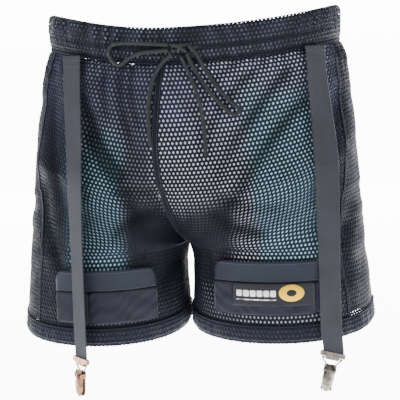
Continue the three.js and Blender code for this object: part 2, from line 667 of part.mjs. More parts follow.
for (const [name, side] of SIDES) {
  const piece = (part, columns, rows, inner, outer, material) =>
    add(`${part}_${name}`, tabSheet(name, side, columns, rows, inner, outer), material);
  const free = freeColumns(name);
  const sewn = columnStops.slice(TAB_FREE_COLUMNS[name]);
  piece("tab_base", columnStops, rowStops, TAB_LIFT, baseOut, plainCloth);
  piece("tab_strip", columnStops, nudge(upperRows, 0, -gapRow), baseOut + GAP, hookOut + 0.5, webbing);
  piece("tab_sewn", nudge(sewn, gapColumn, 0), nudge(lowerRows, gapRow, 0), baseOut + GAP, flapOut,
    plainCloth);
  piece("tab_flap", nudge(free, 0, -gapColumn), nudge(lowerRows, gapRow, 0.02), hookOut + GAP,
    flapOut, plainCloth);
  piece("tab_hook", free.slice(1, -1), lowerRows.slice(1, -1), baseOut + GAP, hookOut, rubber);
}
const patchOut = flapOut + GAP + PATCH_CLOTH;
const patchColumns = nudge(freeColumns("left").slice(2), 0, -0.02);
const patchSheet = tabSheet("left", 1, patchColumns, lowerRows.slice(1, -1), flapOut + GAP, patchOut);
add("name_patch", patchSheet, finish(0xf0c828, 0.6));

// ---- Protective cup in its pocket ----
const taper = (x, z) => x * (1 - 0.3 * smooth(-z / CUP.halfHeight));
function egg(grow) {
  const geometry = new THREE.SphereGeometry(1, 24, 18)
    .rotateX(Math.PI / 2)
    .scale(CUP.halfWidth + grow, CUP.depth + grow, CUP.halfHeight + grow);
  const position = geometry.getAttribute("position");
  for (let i = 0; i < position.count; i++) position.setX(i, taper(position.getX(i), position.getZ(i)));
  return geometry.translate(0, CUP.y, CUP.z);
}
const behind = (y) => box(200, 200, 300, 0, y + 100, CUP.z);
add("cup_shell", cut(egg(0), egg(-CUP.wall), behind(CUP.y)), plastic);

const rimSection = [[0.4, GAP], [0.4, 4], [-5, 4], [-5, GAP]];
const cupRim = steps(0, 2 * Math.PI, 36)
  .slice(0, -1)
  .map((a) =>
    rimSection.map(([out, back]) => {
      const z = (CUP.halfHeight + out) * Math.sin(a);
      return vec(taper((CUP.halfWidth + out) * Math.cos(a), z), CUP.y + back, CUP.z + z);
    }),
  );
add("cup_rim", loft(cupRim, true), rubber);

const POCKET = { clear: 1.2, cloth: 1.0, rise: 74 };
const above = (z) => box(200, 200, 200, 0, CUP.y, z + 100);
function pocketBody(grow) {
  const bowl = cut(egg(grow), above(CUP.z));
  const arch = new THREE.CylinderGeometry(1, 1, POCKET.rise, 28)
    .rotateX(Math.PI / 2)
    .scale(CUP.halfWidth + grow, CUP.depth + grow, 1)
    .translate(0, CUP.y, CUP.z + POCKET.rise / 2);
  return join(bowl, arch);
}
add("cup_pocket_front", cut(pocketBody(POCKET.clear + POCKET.cloth), pocketBody(POCKET.clear),
  behind(CUP.y), above(CUP.z + POCKET.rise - 1)), whiteCloth);
const backY = CUP.y + 4 + 2 * GAP;
const backWidth = CUP.halfWidth - 4;
const backShape = new THREE.Shape()
  .moveTo(-backWidth, 20)
  .lineTo(-backWidth, -10)
  .bezierCurveTo(-backWidth, -70, backWidth, -70, backWidth, -10)
  .lineTo(backWidth, 20)
  .closePath();
const backCloth = { depth: 1, bevelEnabled: false, curveSegments: 16 };
add("cup_pocket_back", new THREE.ExtrudeGeometry(backShape, backCloth)
  .rotateX(Math.PI / 2)
  .translate(0, backY + 1, CUP.z), whiteCloth);

export default garment;
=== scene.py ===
"""Loose mesh hockey shorts with a drawstring waist, sock tabs, hanging garters and a cup."""

from __future__ import annotations

import json
import logging
import math
from dataclasses import dataclass, field
from enum import Enum
from typing import Callable, Sequence

import bmesh
import bpy
import numpy as np
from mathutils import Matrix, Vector

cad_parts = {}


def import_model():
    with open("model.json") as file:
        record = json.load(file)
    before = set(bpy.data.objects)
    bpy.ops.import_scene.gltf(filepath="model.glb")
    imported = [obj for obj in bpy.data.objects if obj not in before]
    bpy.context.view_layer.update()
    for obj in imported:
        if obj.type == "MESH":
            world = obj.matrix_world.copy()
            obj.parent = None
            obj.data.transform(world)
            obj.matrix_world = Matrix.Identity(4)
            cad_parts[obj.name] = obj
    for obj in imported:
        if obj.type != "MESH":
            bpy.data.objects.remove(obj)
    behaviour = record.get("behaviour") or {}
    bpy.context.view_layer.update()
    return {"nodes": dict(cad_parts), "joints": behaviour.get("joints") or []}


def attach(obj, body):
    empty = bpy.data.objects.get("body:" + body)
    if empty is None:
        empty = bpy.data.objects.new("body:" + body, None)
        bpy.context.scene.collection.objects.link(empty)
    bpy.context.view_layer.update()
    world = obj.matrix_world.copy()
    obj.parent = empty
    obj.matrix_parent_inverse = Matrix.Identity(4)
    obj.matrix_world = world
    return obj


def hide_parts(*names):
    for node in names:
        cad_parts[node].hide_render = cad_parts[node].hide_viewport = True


log = logging.getLogger("shorts")
Array = np.ndarray
BEHIND_MESH = 0.0011  # from the mesh's outer face to the cloth behind it
LINER_CLOTH = 0.0005
BACKING_CLOTH = 0.0004


class Side(Enum):
    """The wearer's side, with its sign along X."""

    LEFT = 1
    RIGHT = -1

    @property
    def word(self) -> str:
        """The side's name as the nodes spell it."""
        return self.name.lower()


@dataclass(frozen=True)
class Finish:
    """A surface finish: base colour, gloss and the scale of its wear."""

    name: str
    color: tuple[float, float, float]
    roughness: float
    metallic: float = 0.0
    sheen: float = 0.0
    mottle: float = 0.18
    mottle_scale: float = 45.0
    grain: float = 0.15
    grain_scale: float = 1500.0
    gloss: float = 0.4
    glow: float = 0.0
    zoned: bool = False
    slot: str = ""


MESH = Finish("mesh_knit", (0.0062, 0.0074, 0.0150), 0.75, gloss=0.16, slot="mesh_knit",
              zoned=True)
BAND = Finish("band_knit", (0.0070, 0.0082, 0.0185), 0.75, gloss=0.18, slot="dark_knit",
              zoned=True)
PLAIN = Finish("plain_knit", (0.0075, 0.0078, 0.0145), 0.8, gloss=0.14, slot="dark_knit")
PLUSH = Finish("brushed_knit", (0.0175, 0.0175, 0.0285), 0.85, sheen=0.10, gloss=0.15, grain=0.5,
               grain_scale=700, slot="dark_knit")
LINER = Finish("liner_knit", (0.90, 0.90, 1.0), 0.85, mottle=0.1, slot="liner_knit", zoned=True)
BACKING = Finish("backing_knit", (0.05, 0.052, 0.07), 0.85, gloss=0.2, slot="dark_knit")
POCKET = Finish("white_knit", (0.76, 0.76, 0.82), 0.85, mottle=0.06, slot="white_knit")
ELASTIC = Finish("white_elastic", (0.50, 0.51, 0.63), 0.8, mottle=0.4, slot="white_elastic",
                 zoned=True)
WEBBING = Finish("ribbed_webbing", (0.036, 0.037, 0.046), 0.7, gloss=0.2, grain=0.3,
                 slot="webbing")
STRIP = Finish("strip_webbing", (0.014, 0.0185, 0.030), 0.6, gloss=0.22, grain=0.3,
               slot="webbing")
BRAID = Finish("braid", (0.010, 0.0125, 0.0135), 0.6, sheen=0.05, gloss=0.35, grain=0.3, slot="braid")
THREAD = Finish("thread", (0.050, 0.051, 0.072), 0.5, gloss=0.5, slot="dark_knit")
HEM_FOLD = Finish("hem_fold_knit", (0.05, 0.048, 0.058), 0.8, gloss=0.2, slot="dark_knit")
NICKEL = Finish("worn_nickel", (0.21, 0.19, 0.16), 0.20, metallic=1.0, mottle=0.6, mottle_scale=160,
                grain=0.1, slot="nickel")
COPPERY = Finish("worn_copper_nickel", (0.27, 0.15, 0.095), 0.22, metallic=1.0, mottle=0.6,
                 mottle_scale=160, grain=0.1, slot="nickel")
HOOKS = Finish("hook_tape", (0.012, 0.012, 0.016), 0.8, grain=0.8, slot="hook_tape")
RUBBER = Finish("soft_rubber", (0.02, 0.02, 0.021), 0.75, slot="rubber")
CUP_PLASTIC = Finish("moulded_plastic", (0.78, 0.78, 0.79), 0.35, mottle=0.03, slot="cup_plastic")
PRINT_YELLOW = Finish("printed_yellow", (0.9, 0.52, 0.01), 0.5, mottle=0.08, slot="patch_print")
PRINT_WHITE = Finish("printed_white", (0.8, 0.8, 0.8), 0.5, mottle=0.08, slot="patch_print")
PATCH_BASE = Finish("patch_base", (0.008, 0.008, 0.013), 0.5, grain=0.4, gloss=0.3, slot="patch_print")
STAGE = Finish("stage_white", (0.92, 0.92, 0.93), 0.9, mottle=0.0, grain=0.0, glow=9.0)


def smooth(t: Array | float) -> Array:
    """Eases t from 0 to 1, held at both ends."""
    c = np.clip(t, 0, 1)
    return c * c * (3 - 2 * c)


def mix(a: Array | float, b: Array | float, t: Array | float) -> Array | float:
    """The value a share t of the way from a to b."""
    return a + (b - a) * t


def unit(vectors: Array) -> Array:
    """The vectors at length one."""
    length = np.linalg.norm(vectors, axis=-1, keepdims=True)
    return vectors / np.maximum(length, 1e-12)


def run_along(points: Array) -> Array:
    """How far each point lies along the line through them all."""
    steps = np.linalg.norm(np.diff(points, axis=0), axis=1)
    return np.concatenate([[0], np.cumsum(steps)])


def tube_faces(rows: int, sides: int) -> list[tuple[int, ...]]:
    """Quads of a closed ring of sections, each with the same number of corners.

    Args:
        rows: Sections round the ring.
        sides: Corners of a section.

    Returns:
        The quads.
    """
    ring = np.arange(rows * sides).reshape(rows, sides)
    after = np.roll(ring, -1, axis=0)
    return [(ring[a, b], ring[a, (b + 1) % sides], after[a, (b + 1) % sides], after[a, b])
            for a in range(rows) for b in range(sides)]


@dataclass(frozen=True)
class Fold:
    """A soft valley pressed into the cloth along a line from start to end, in x and z."""

    start: tuple[float, float]
    end: tuple[float, float]
    width: float
    depth: float


FRONT_FOLDS = (
    Fold((0.118, -0.075), (0.030, -0.200), 0.0075, 0.0065),
    Fold((0.142, -0.105), (0.052, -0.222), 0.0080, 0.0060),
    Fold((0.085, -0.068), (0.020, -0.150), 0.0065, 0.0050),
    Fold((0.060, -0.062), (0.012, -0.118), 0.0055, 0.0040),
    Fold((-0.122, -0.140), (-0.078, -0.190), 0.0085, 0.0070),
    Fold((-0.130, -0.090), (-0.060, -0.235), 0.0080, 0.0055),
    Fold((-0.078, -0.062), (-0.068, -0.150), 0.0065, 0.0055),
    Fold((-0.062, -0.062), (-0.058, -0.130), 0.0055, 0.0045),
    Fold((-0.095, -0.062), (-0.098, -0.120), 0.0060, 0.0040),
    Fold((0.022, -0.232), (0.085, -0.262), 0.0080, 0.0060),
    Fold((0.030, -0.215), (0.105, -0.232), 0.0070, 0.0040),
    Fold((-0.040, -0.235), (-0.090, -0.262), 0.0075, 0.0055),
    Fold((-0.030, -0.215), (-0.085, -0.210), 0.0070, 0.0045),
    Fold((-0.168, -0.090), (-0.152, -0.230), 0.0090, 0.0050),
    Fold((-0.180, -0.200), (-0.158, -0.300), 0.0080, 0.0045),
    Fold((0.176, -0.110), (0.170, -0.240), 0.0090, 0.0045),
    Fold((0.186, -0.240), (0.178, -0.320), 0.0080, 0.0045),
    Fold((-0.020, -0.290), (-0.036, -0.350), 0.0070, 0.0045),
    Fold((0.012, -0.290), (0.028, -0.350), 0.0070, 0.0045),
)
BACK_FOLDS = (
    Fold((0.110, -0.090), (0.035, -0.205), 0.014, 0.0050),
    Fold((-0.110, -0.090), (-0.035, -0.205), 0.014, 0.0050),
    Fold((0.130, -0.190), (0.060, -0.260), 0.015, 0.0045),
    Fold((-0.130, -0.180), (-0.060, -0.265), 0.015, 0.0045),
    Fold((0.085, -0.280), (0.105, -0.340), 0.013, 0.0040),
    Fold((-0.095, -0.275), (-0.110, -0.340), 0.013, 0.0040),
    Fold((0.040, -0.070), (0.030, -0.130), 0.010, 0.0035),
    Fold((-0.050, -0.070), (-0.035, -0.130), 0.010, 0.0035),
)


@dataclass(frozen=True)
class FormSizes:
    """The garment's driving dimensions, the same ones as the part's source."""

    waist_half_width: float = 0.1755
    waist_depth: tuple[float, float] = (0.100, 0.092)
    middle_depth: tuple[float, float] = (0.112, 0.118)
    hem_depth: tuple[float, float] = (0.103, 0.094)
    waist_dip: tuple[float, float] = (0.021, 0.024)
    hem_dip: tuple[float, float] = (0.018, 0.004)
    band_height: float = 0.040
    band_out: float = 0.0048
    band_in: float = -0.0052
    hem_half_width: float = 0.211
    hip_flare: float = 0.007
    side_length: float = 0.313
    crotch_drop: float = 0.276
    leg_gap: float = 0.005
    hem_height: float = 0.020
    side_panel_start: float = 0.78
    seam_shift: float = 0.042
    cup_bulge: float = 0.016
    lean: float = 0.005
    inseam_shift: float = 0.009

    @property
    def crotch(self) -> float:
        """How far down the side length the crotch lies, as a share."""
        return (self.crotch_drop - self.band_height + 0.002) / self.side_length


class GarmentForm:
    """The shape of the worn cloth.

    v runs down from the waist seam (0) to the hem seam (1). u runs round each quarter from
    the centre seam or inseam (0) to the side (1).
    """

    def __init__(self, sizes: FormSizes) -> None:
        """Keeps the sizes and samples the front once."""
        self.sizes = sizes
        self._front = self._front_cloth()

    def raw(self, side: Array | int, front: Array | bool, u: Array | float,
            v: Array | float) -> Array:
        """Points of the undraped cloth.

        Args:
            side: +1 for the wearer's left, -1 for the right.
            front: True on the front half.
            u: Share round the quarter.
            v: Share down the side length.

        Returns:
            An array of points with the shape of the inputs and a last axis of 3.
        """
        z = self.sizes
        side, front, u, v = np.broadcast_arrays(side, front, np.asarray(u, float), np.asarray(v, float))
        pick = lambda pair: np.where(front, pair[0], pair[1])
        low = np.maximum(v, 0)
        share = np.clip(v / z.crotch, 0, 1)
        turn = share * np.pi / 2
        neck = np.exp(-low / 0.03)
        upper = mix(pick(z.waist_depth), pick(z.middle_depth), smooth(v / 0.4)) - 0.005 * neck
        lower = mix(pick(z.middle_depth), pick(z.hem_depth), smooth((v - 0.4) / 0.6))
        depth = np.where(v < 0.4, upper, lower)
        above = v < z.crotch
        inner_y = np.where(above, depth * np.maximum(np.cos(turn), 0) ** 0.7, 0)
        inseam = (v - z.crotch) / (1 - z.crotch)
        seam_z = mix(-z.band_height - pick(z.waist_dip), -z.crotch_drop, np.sin(turn) ** 1.1)
        leg_z = mix(-z.crotch_drop, -z.band_height - z.side_length, inseam)
        inner_z = np.where(above, seam_z, leg_z)
        inner_x = z.leg_gap / 2 * smooth(inseam / 0.25)
        flare = z.hip_flare - (z.hip_flare + 0.003) * neck
        spread = z.hem_half_width - z.waist_half_width - z.hip_flare
        side_x = z.waist_half_width + flare + spread * low**0.8
        bend = smooth((share - 0.25) / 0.75)
        angle = bend * np.pi / 2
        corner = mix(0.5523, 0.64, smooth(v / 0.6))
        reach_side = mix(corner * depth, 4 / 3 * depth, bend)
        reach_inner = mix(corner * (side_x - inner_x), 4 / 3 * depth, bend)
        scale = np.ones_like(depth)
        for stop in np.linspace(0.1, 0.9, 17):
            b = self._weights(stop)
            arm = b[1] * reach_inner * np.sin(angle) + b[2] * reach_side
            scale = np.minimum(scale, (depth - (b[0] + b[1]) * inner_y) / arm)
        b = self._weights(u)
        x = b[0] * inner_x + b[1] * (inner_x + reach_inner * np.cos(angle)) + (b[2] + b[3]) * side_x
        y = b[0] * inner_y + b[1] * (inner_y + scale * reach_inner * np.sin(angle))
        y = y + b[2] * scale * reach_side
        sag = pick(z.hem_dip) * np.clip(v, 0, 1) ** 3
        side_z = -z.band_height - v * z.side_length
        height = mix(inner_z, side_z, smooth(u)) - sag * np.sin(np.pi * np.clip(u, 0, 1)) ** 0.7
        return np.stack([side * x, np.where(front, -y, y), height], -1)

    @staticmethod
    def _weights(u: Array | float) -> tuple:
        """The four weights of a cubic curve at u."""
        return (1 - u) ** 3, 3 * u * (1 - u) ** 2, 3 * u * u * (1 - u), u**3

    def drape(self, p: Array) -> Array:
        """The points after the cup's push and the pull on the centre seam.

        Args:
            p: Points of the undraped cloth.

        Returns:
            The moved points.
        """
        z = self.sizes
        x, y, height = p[..., 0], p[..., 1], p[..., 2]
        down = np.clip((-z.band_height - height) / (z.crotch_drop - z.band_height), 0, 1)
        near = np.maximum(0, 1 - np.abs(x) / 0.150) ** 2
        frontness = smooth(-y / 0.060)
        shift = z.seam_shift * (0.62 + 0.5 * down) * (1 - down**3)
        bulge = np.exp(-((x / 0.058) ** 2) - ((height + 0.62 * z.crotch_drop) / 0.075) ** 2)
        moved = x - z.lean * down - z.inseam_shift * down**2 * near - shift * near * frontness
        return np.stack([moved, y - z.cup_bulge * bulge * frontness, height], -1)

    def normal(self, side: Array | int, front: Array | bool, u: Array | float,
               v: Array | float) -> Array:
        """Outward unit normals of the undraped cloth.

        Args:
            side: +1 for the wearer's left, -1 for the right.
            front: True on the front half.
            u: Share round the quarter.
            v: Share down the side length.

        Returns:
            A unit vector for each point.
        """
        step = 0.002
        across = self.raw(side, front, u + step, v) - self.raw(side, front, u - step, v)
        down = self.raw(side, front, u, v + step) - self.raw(side, front, u, v - step)
        flip = np.asarray(side) * np.where(front, 1, -1)
        return unit(np.cross(down, across)) * np.asarray(flip)[..., None]

    def place(self, side: Array | int, front: Array | bool, u: Array | float, v: Array | float,
              out: Array | float = 0.0) -> Array:
        """Points of the folded, draped cloth at a distance out from its outer face.

        Args:
            side: +1 for the wearer's left, -1 for the right.
            front: True on the front half.
            u: Share round the quarter.
            v: Share down the side length.
            out: Distance out from the outer face.

        Returns:
            The points.
        """
        u, v = np.asarray(u, float), np.asarray(v, float)
        base = self.raw(side, front, u, v)
        normal = self.normal(side, front, u, v)
        placed = self.drape(base + normal * np.asarray(out)[..., None])
        return placed + normal * self.folds(self.drape(base))[..., None]

    def folds(self, p: Array) -> Array:
        """How far the cloth is pressed in, at most 0, at points of the draped form.

        Args:
            p: Points of the draped form.

        Returns:
            A distance for each point, 0 or less.
        """
        x, y, z = p[..., 0], p[..., 1], p[..., 2]
        total = np.zeros_like(x)
        over_cup = np.exp(-((x / 0.050) ** 2) - ((z + 0.18) / 0.07) ** 2) * (y < 0)
        clear = 1 - 0.85 * over_cup
        for folds, facing in ((FRONT_FOLDS, smooth(-y / 0.05)), (BACK_FOLDS, smooth(y / 0.05))):
            for fold in folds:
                (ax, az), (bx, bz) = fold.start, fold.end
                length = math.hypot(bx - ax, bz - az)
                t = ((x - ax) * (bx - ax) + (z - az) * (bz - az)) / length**2
                off = ((x - ax) * (bz - az) - (z - az) * (bx - ax)) / length
                bow = 0.006 * np.sin(np.pi * np.clip(t, 0, 1))
                ends = smooth((t + 0.25) / 0.4) * smooth((1.25 - t) / 0.4)
                valley = np.exp(-(((off - bow) / fold.width) ** 2))
                total = total - clear * fold.depth * facing * ends * valley
        drop = -z - self.sizes.band_height - 0.012
        round_ = np.arctan2(x, np.abs(y) + 0.02)
        flutes = 0.5 + 0.5 * np.sin(62 * round_ + 2.2 * np.sin(9 * round_) + 1.4 * np.sin(23 * round_))
        total -= 0.0026 * flutes * np.exp(-((np.maximum(drop, 0) / 0.022) ** 1.2))
        ripple = np.sin(41 * x + 9 * np.sin(17 * z + 1)) * np.sin(29 * z + 13 * x + 5 * np.sin(21 * x))
        small = np.sin(113 * x - 71 * z + 3 * ripple)
        wave = 0.0016 * (0.5 + 0.5 * ripple) + 0.0009 * (0.5 + 0.5 * small)
        total -= wave
        ends = smooth((-z - 0.042) / 0.012) * smooth((z + 0.350) / 0.03)
        return np.maximum(total * np.clip(ends, 0, 1), -0.0085)

    def round_leg(self, side: int, t: Array) -> tuple[Array, Array]:
        """Front flags and u of points round one leg, from the inseam over the front."""
        turned = np.mod(t, 1.0)
        return turned < 0.5, np.where(turned < 0.5, 2 * turned, 2 - 2 * turned)

    def seam(self, t: Array) -> Array:
        """Undraped points of the waist seam, once round from the centre front.

        Args:
            t: Share of the way round from the centre front.

        Returns:
            The points.
        """
        turned = np.mod(t, 1.0)
        index = np.floor(turned * 4)
        part = turned * 4 - index
        side = np.where(index < 2, 1, -1)
        front = (index == 0) | (index == 3)
        return self.raw(side, front, np.where(index % 2 == 0, part, 1 - part), np.zeros_like(turned))

    def band(self, t: Array, out: Array, up: Array) -> Array:
        """Points of the waistband at a distance out from the seam and up from it.

        Args:
            t: Share of the way round from the centre front.
            out: Distance out from the seam.
            up: Height above the seam.

        Returns:
            The points.
        """
        t = np.asarray(t, float)
        along = self.seam(t + 0.001) - self.seam(t - 0.001)
        outward = unit(np.stack([along[..., 1], -along[..., 0], np.zeros_like(t)], -1))
        lift = np.stack([np.zeros_like(t), np.zeros_like(t), np.broadcast_to(up, t.shape)], -1)
        return self.drape(self.seam(t) + outward * np.broadcast_to(out, t.shape)[..., None] + lift)

    def _front_cloth(self) -> Array:
        """Points all over the front, for finding how far forward the cloth lies.

        Returns:
            The points, one in each row.
        """
        z = self.sizes
        found = []
        for side in (1, -1):
            low = 1 + z.hem_height / z.side_length
            u, v = np.meshgrid(np.linspace(0, 1, 61), np.linspace(0, low, 91))
            base = self.raw(side, True, u, v)
            out = np.where(v > 1, 0.0015, 0.0)[..., None]
            found.append(self.drape(base + self.normal(side, True, u, v) * out).reshape(-1, 3))
        t, up = np.meshgrid(np.linspace(-0.25, 0.25, 161), np.linspace(0, z.band_height, 10))
        found.append(self.band(t, z.band_out - np.where(up < 0.003, 0.002, 0), up).reshape(-1, 3))
        return np.concatenate(found)

    def front_y(self, x: float, z: float, radius: float = 0.006) -> float:
        """The foremost y of the cloth near a point seen from the front."""
        near = (np.abs(self._front[:, 0] - x) < radius) & (np.abs(self._front[:, 2] - z) < radius)
        return float(self._front[near, 1].min())


# ---- Meshes and materials ----
class Paint:
    """Makes and keeps the materials of the finishes."""

    def __init__(self) -> None:
        """Starts with no materials."""
        self._made: dict[str, bpy.types.Material] = {}

    def of(self, finish: Finish) -> bpy.types.Material:
        """The material of a finish.

        Args:
            finish: The finish to make.

        Returns:
            The material, made once for each finish.
        """
        if finish.name in self._made:
            return self._made[finish.name]
        material = bpy.data.materials.new(finish.name)
        material.use_nodes = True
        nodes, links = material.node_tree.nodes, material.node_tree.links
        shader = nodes["Principled BSDF"]
        shader.inputs["Metallic"].default_value = finish.metallic
        shader.inputs["Sheen Weight"].default_value = finish.sheen
        shader.inputs["Sheen Roughness"].default_value = 0.45
        shader.inputs["Specular IOR Level"].default_value = finish.gloss
        if finish.glow:
            shader.inputs["Emission Color"].default_value = (1, 1, 1, 1)
        place = nodes.new("ShaderNodeTexCoord")
        if finish.glow:
            self._glow_behind(material, place, shader, finish.glow)
        cloud = nodes.new("ShaderNodeTexNoise")
        cloud.inputs["Scale"].default_value = finish.mottle_scale
        cloud.inputs["Detail"].default_value = 4
        links.new(place.outputs["Object"], cloud.inputs["Vector"])
        ramp = nodes.new("ShaderNodeMapRange")
        ramp.inputs["From Min"].default_value = 0.3
        ramp.inputs["From Max"].default_value = 0.7
        ramp.inputs["To Min"].default_value = 1 - finish.mottle
        ramp.inputs["To Max"].default_value = 1 + finish.mottle
        links.new(cloud.outputs["Fac"], ramp.inputs["Value"])
        tint = nodes.new("ShaderNodeVectorMath")
        tint.operation = "SCALE"
        tint.inputs[0].default_value = finish.color
        links.new(ramp.outputs["Result"], tint.inputs["Scale"])
        links.new(tint.outputs["Vector"], shader.inputs["Base Color"])
        rough = nodes.new("ShaderNodeMath")
        rough.operation = "MULTIPLY"
        rough.use_clamp = True
        rough.inputs[1].default_value = finish.roughness
        links.new(ramp.outputs["Result"], rough.inputs[0])
        links.new(rough.outputs["Value"], shader.inputs["Roughness"])
        fine = nodes.new("ShaderNodeTexNoise")
        fine.inputs["Scale"].default_value = finish.grain_scale
        fine.inputs["Detail"].default_value = 2
        links.new(place.outputs["Object"], fine.inputs["Vector"])
        bump = nodes.new("ShaderNodeBump")
        bump.inputs["Strength"].default_value = finish.grain
        bump.inputs["Distance"].default_value = 0.0006
        links.new(fine.outputs["Fac"], bump.inputs["Height"])
        links.new(bump.outputs["Normal"], shader.inputs["Normal"])
        if finish.zoned:
            self._shade_by_attribute(material, tint, shader)
        self._made[finish.name] = material
        return material

    @staticmethod
    def _glow_behind(material: bpy.types.Material, place: bpy.types.Node,
                     shader: bpy.types.Node, strength: float) -> None:
        """Makes the surface glow more the farther back it lies.

        Args:
            material: The material.
            place: The coordinate node.
            shader: Its main shader.
            strength: The glow at the back.
        """
        nodes, links = material.node_tree.nodes, material.node_tree.links
        split = nodes.new("ShaderNodeSeparateXYZ")
        links.new(place.outputs["Object"], split.inputs["Vector"])
        ramp = nodes.new("ShaderNodeMapRange")
        ramp.interpolation_type = "SMOOTHSTEP"
        ramp.inputs["From Min"].default_value = -0.5
        ramp.inputs["From Max"].default_value = 0.3
        ramp.inputs["To Min"].default_value = 0.6
        ramp.inputs["To Max"].default_value = strength
        links.new(split.outputs["Y"], ramp.inputs["Value"])
        links.new(ramp.outputs["Result"], shader.inputs["Emission Strength"])

    @staticmethod
    def _shade_by_attribute(material: bpy.types.Material, tint: bpy.types.Node,
                            shader: bpy.types.Node) -> None:
        """Multiplies the tint, painted shade and painted sheen stored on the vertices into the base
        colour.

        Args:
            material: The material.
            tint: The node that gives the plain colour.
            shader: Its main shader.
        """
        nodes, links = material.node_tree.nodes, material.node_tree.links
        zone = nodes.new("ShaderNodeAttribute")
        zone.attribute_name = "zone"
        product = nodes.new("ShaderNodeVectorMath")
        product.operation = "MULTIPLY"
        links.new(tint.outputs["Vector"], product.inputs[0])
        links.new(zone.outputs["Color"], product.inputs[1])
        links.new(product.outputs["Vector"], shader.inputs["Base Color"])


PAINT = Paint()


def make_mesh(name: str, points: Array, faces: Sequence[Sequence[int]],
              finish: Finish) -> bpy.types.Object:
    """A mesh object at the origin from points and faces.

    Args:
        name: The piece's name.
        points: The corner points.
        faces: The faces, as corner numbers.
        finish: Its finish.

    Returns:
        The new object.
    """
    mesh = bpy.data.meshes.new(name)
    mesh.from_pydata([tuple(p) for p in np.asarray(points, float)], [], [tuple(f) for f in faces])
    mesh.update()
    mesh.polygons.foreach_set("use_smooth", [True] * len(mesh.polygons))
    made = bpy.data.objects.new(name, mesh)
    bpy.context.collection.objects.link(made)
    mesh.materials.append(PAINT.of(finish))
    return made


def face_out(made: bpy.types.Object) -> bpy.types.Object:
    """Turns a closed mesh's faces to point outwards.

    Args:
        made: The closed mesh, changed in place.

    Returns:
        The same object.
    """
    work = bmesh.new()
    work.from_mesh(made.data)
    bmesh.ops.recalc_face_normals(work, faces=work.faces)
    if work.calc_volume(signed=True) < 0:
        bmesh.ops.reverse_faces(work, faces=work.faces)
    work.to_mesh(made.data)
    work.free()
    return made


def grid_faces(rows: int, columns: int, wrap: bool = False) -> list[tuple[int, ...]]:
    """Quads of a grid of rows by columns, joined round in the column direction if wrap.

    Args:
        rows: Rows of points.
        columns: Points in a row.
        wrap: True to join the last column to the first.

    Returns:
        The quads.
    """
    faces = []
    for r in range(rows - 1):
        for c in range(columns if wrap else columns - 1):
            d = (c + 1) % columns
            here, below = r * columns, (r + 1) * columns
            faces.append((here + c, here + d, below + d, below + c))
    return faces


def closed_sheet(name: str, outer: Array, inner: Array, finish: Finish) -> bpy.types.Object:
    """A closed thin sheet between two grids of points of the same shape.

    Args:
        name: The piece's name.
        outer: The outer face's points, in rows.
        inner: The inner face's points, in rows.
        finish: Its finish.

    Returns:
        The new object.
    """
    rows, columns = outer.shape[:2]
    count = rows * columns
    faces = grid_faces(rows, columns)
    faces += [tuple(count + i for i in reversed(f)) for f in grid_faces(rows, columns)]
    edge = [c for c in range(columns)] + [r * columns + columns - 1 for r in range(1, rows)]
    edge += [(rows - 1) * columns + c for c in range(columns - 2, -1, -1)]
    edge += [r * columns for r in range(rows - 2, 0, -1)]
    for a, b in zip(edge, edge[1:] + edge[:1]):
        faces.append((a, count + a, count + b, b))
    points = np.concatenate([outer.reshape(-1, 3), inner.reshape(-1, 3)])
    return face_out(make_mesh(name, points, faces, finish))


def sweep(path: Array, normals: Array, profile: Sequence[tuple[float, float]], ring: bool = False
          ) -> tuple[Array, list[tuple[int, ...]]]:
    """A closed section carried along a path.

    Args:
        path: The points followed.
        normals: The section's up direction at each point.
        profile: The section as (across, up) pairs, in order round it.
        ring: True if the path closes on itself.

    Returns:
        Points and faces of the closed mesh.
    """
    if ring:
        along = unit(np.roll(path, -1, 0) - np.roll(path, 1, 0))
    else:
        along = unit(np.gradient(path, axis=0))
    across = unit(np.cross(along, normals))
    up = np.cross(across, along)
    section = np.asarray(profile, float)
    points = path[:, None] + across[:, None] * section[None, :, :1] + up[:, None] * section[None, :, 1:]
    count = len(section)
    rows = len(path)
    grid = np.concatenate([points, points[:1]]) if ring else points
    faces = []
    for r in range(len(grid) - 1):
        for c in range(count):
            d = (c + 1) % count
            s = (r + 1) % rows
            faces.append((r * count + c, r * count + d, s * count + d, s * count + c))
    if not ring:
        faces.append(tuple(range(count))[::-1])
        faces.append(tuple(range((rows - 1) * count, rows * count)))
    return points.reshape(-1, 3), faces


def joined(parts: Sequence[tuple[Array, list[tuple[int, ...]]]]) -> tuple[Array, list[tuple[int, ...]]]:
    """Several point and face sets as one.

    Args:
        parts: The sets of points and faces.

    Returns:
        All the points and all the faces.
    """
    points, faces, start = [], [], 0
    for p, f in parts:
        points.append(p)
        faces += [tuple(start + i for i in face) for face in f]
        start += len(p)
    return np.concatenate(points), faces


def oval(width: float, height: float, sides: int = 10) -> list[tuple[float, float]]:
    """An oval section."""
    a = np.linspace(0, 2 * np.pi, sides, endpoint=False)
    return [(width / 2 * math.cos(t), height / 2 * math.sin(t)) for t in a]


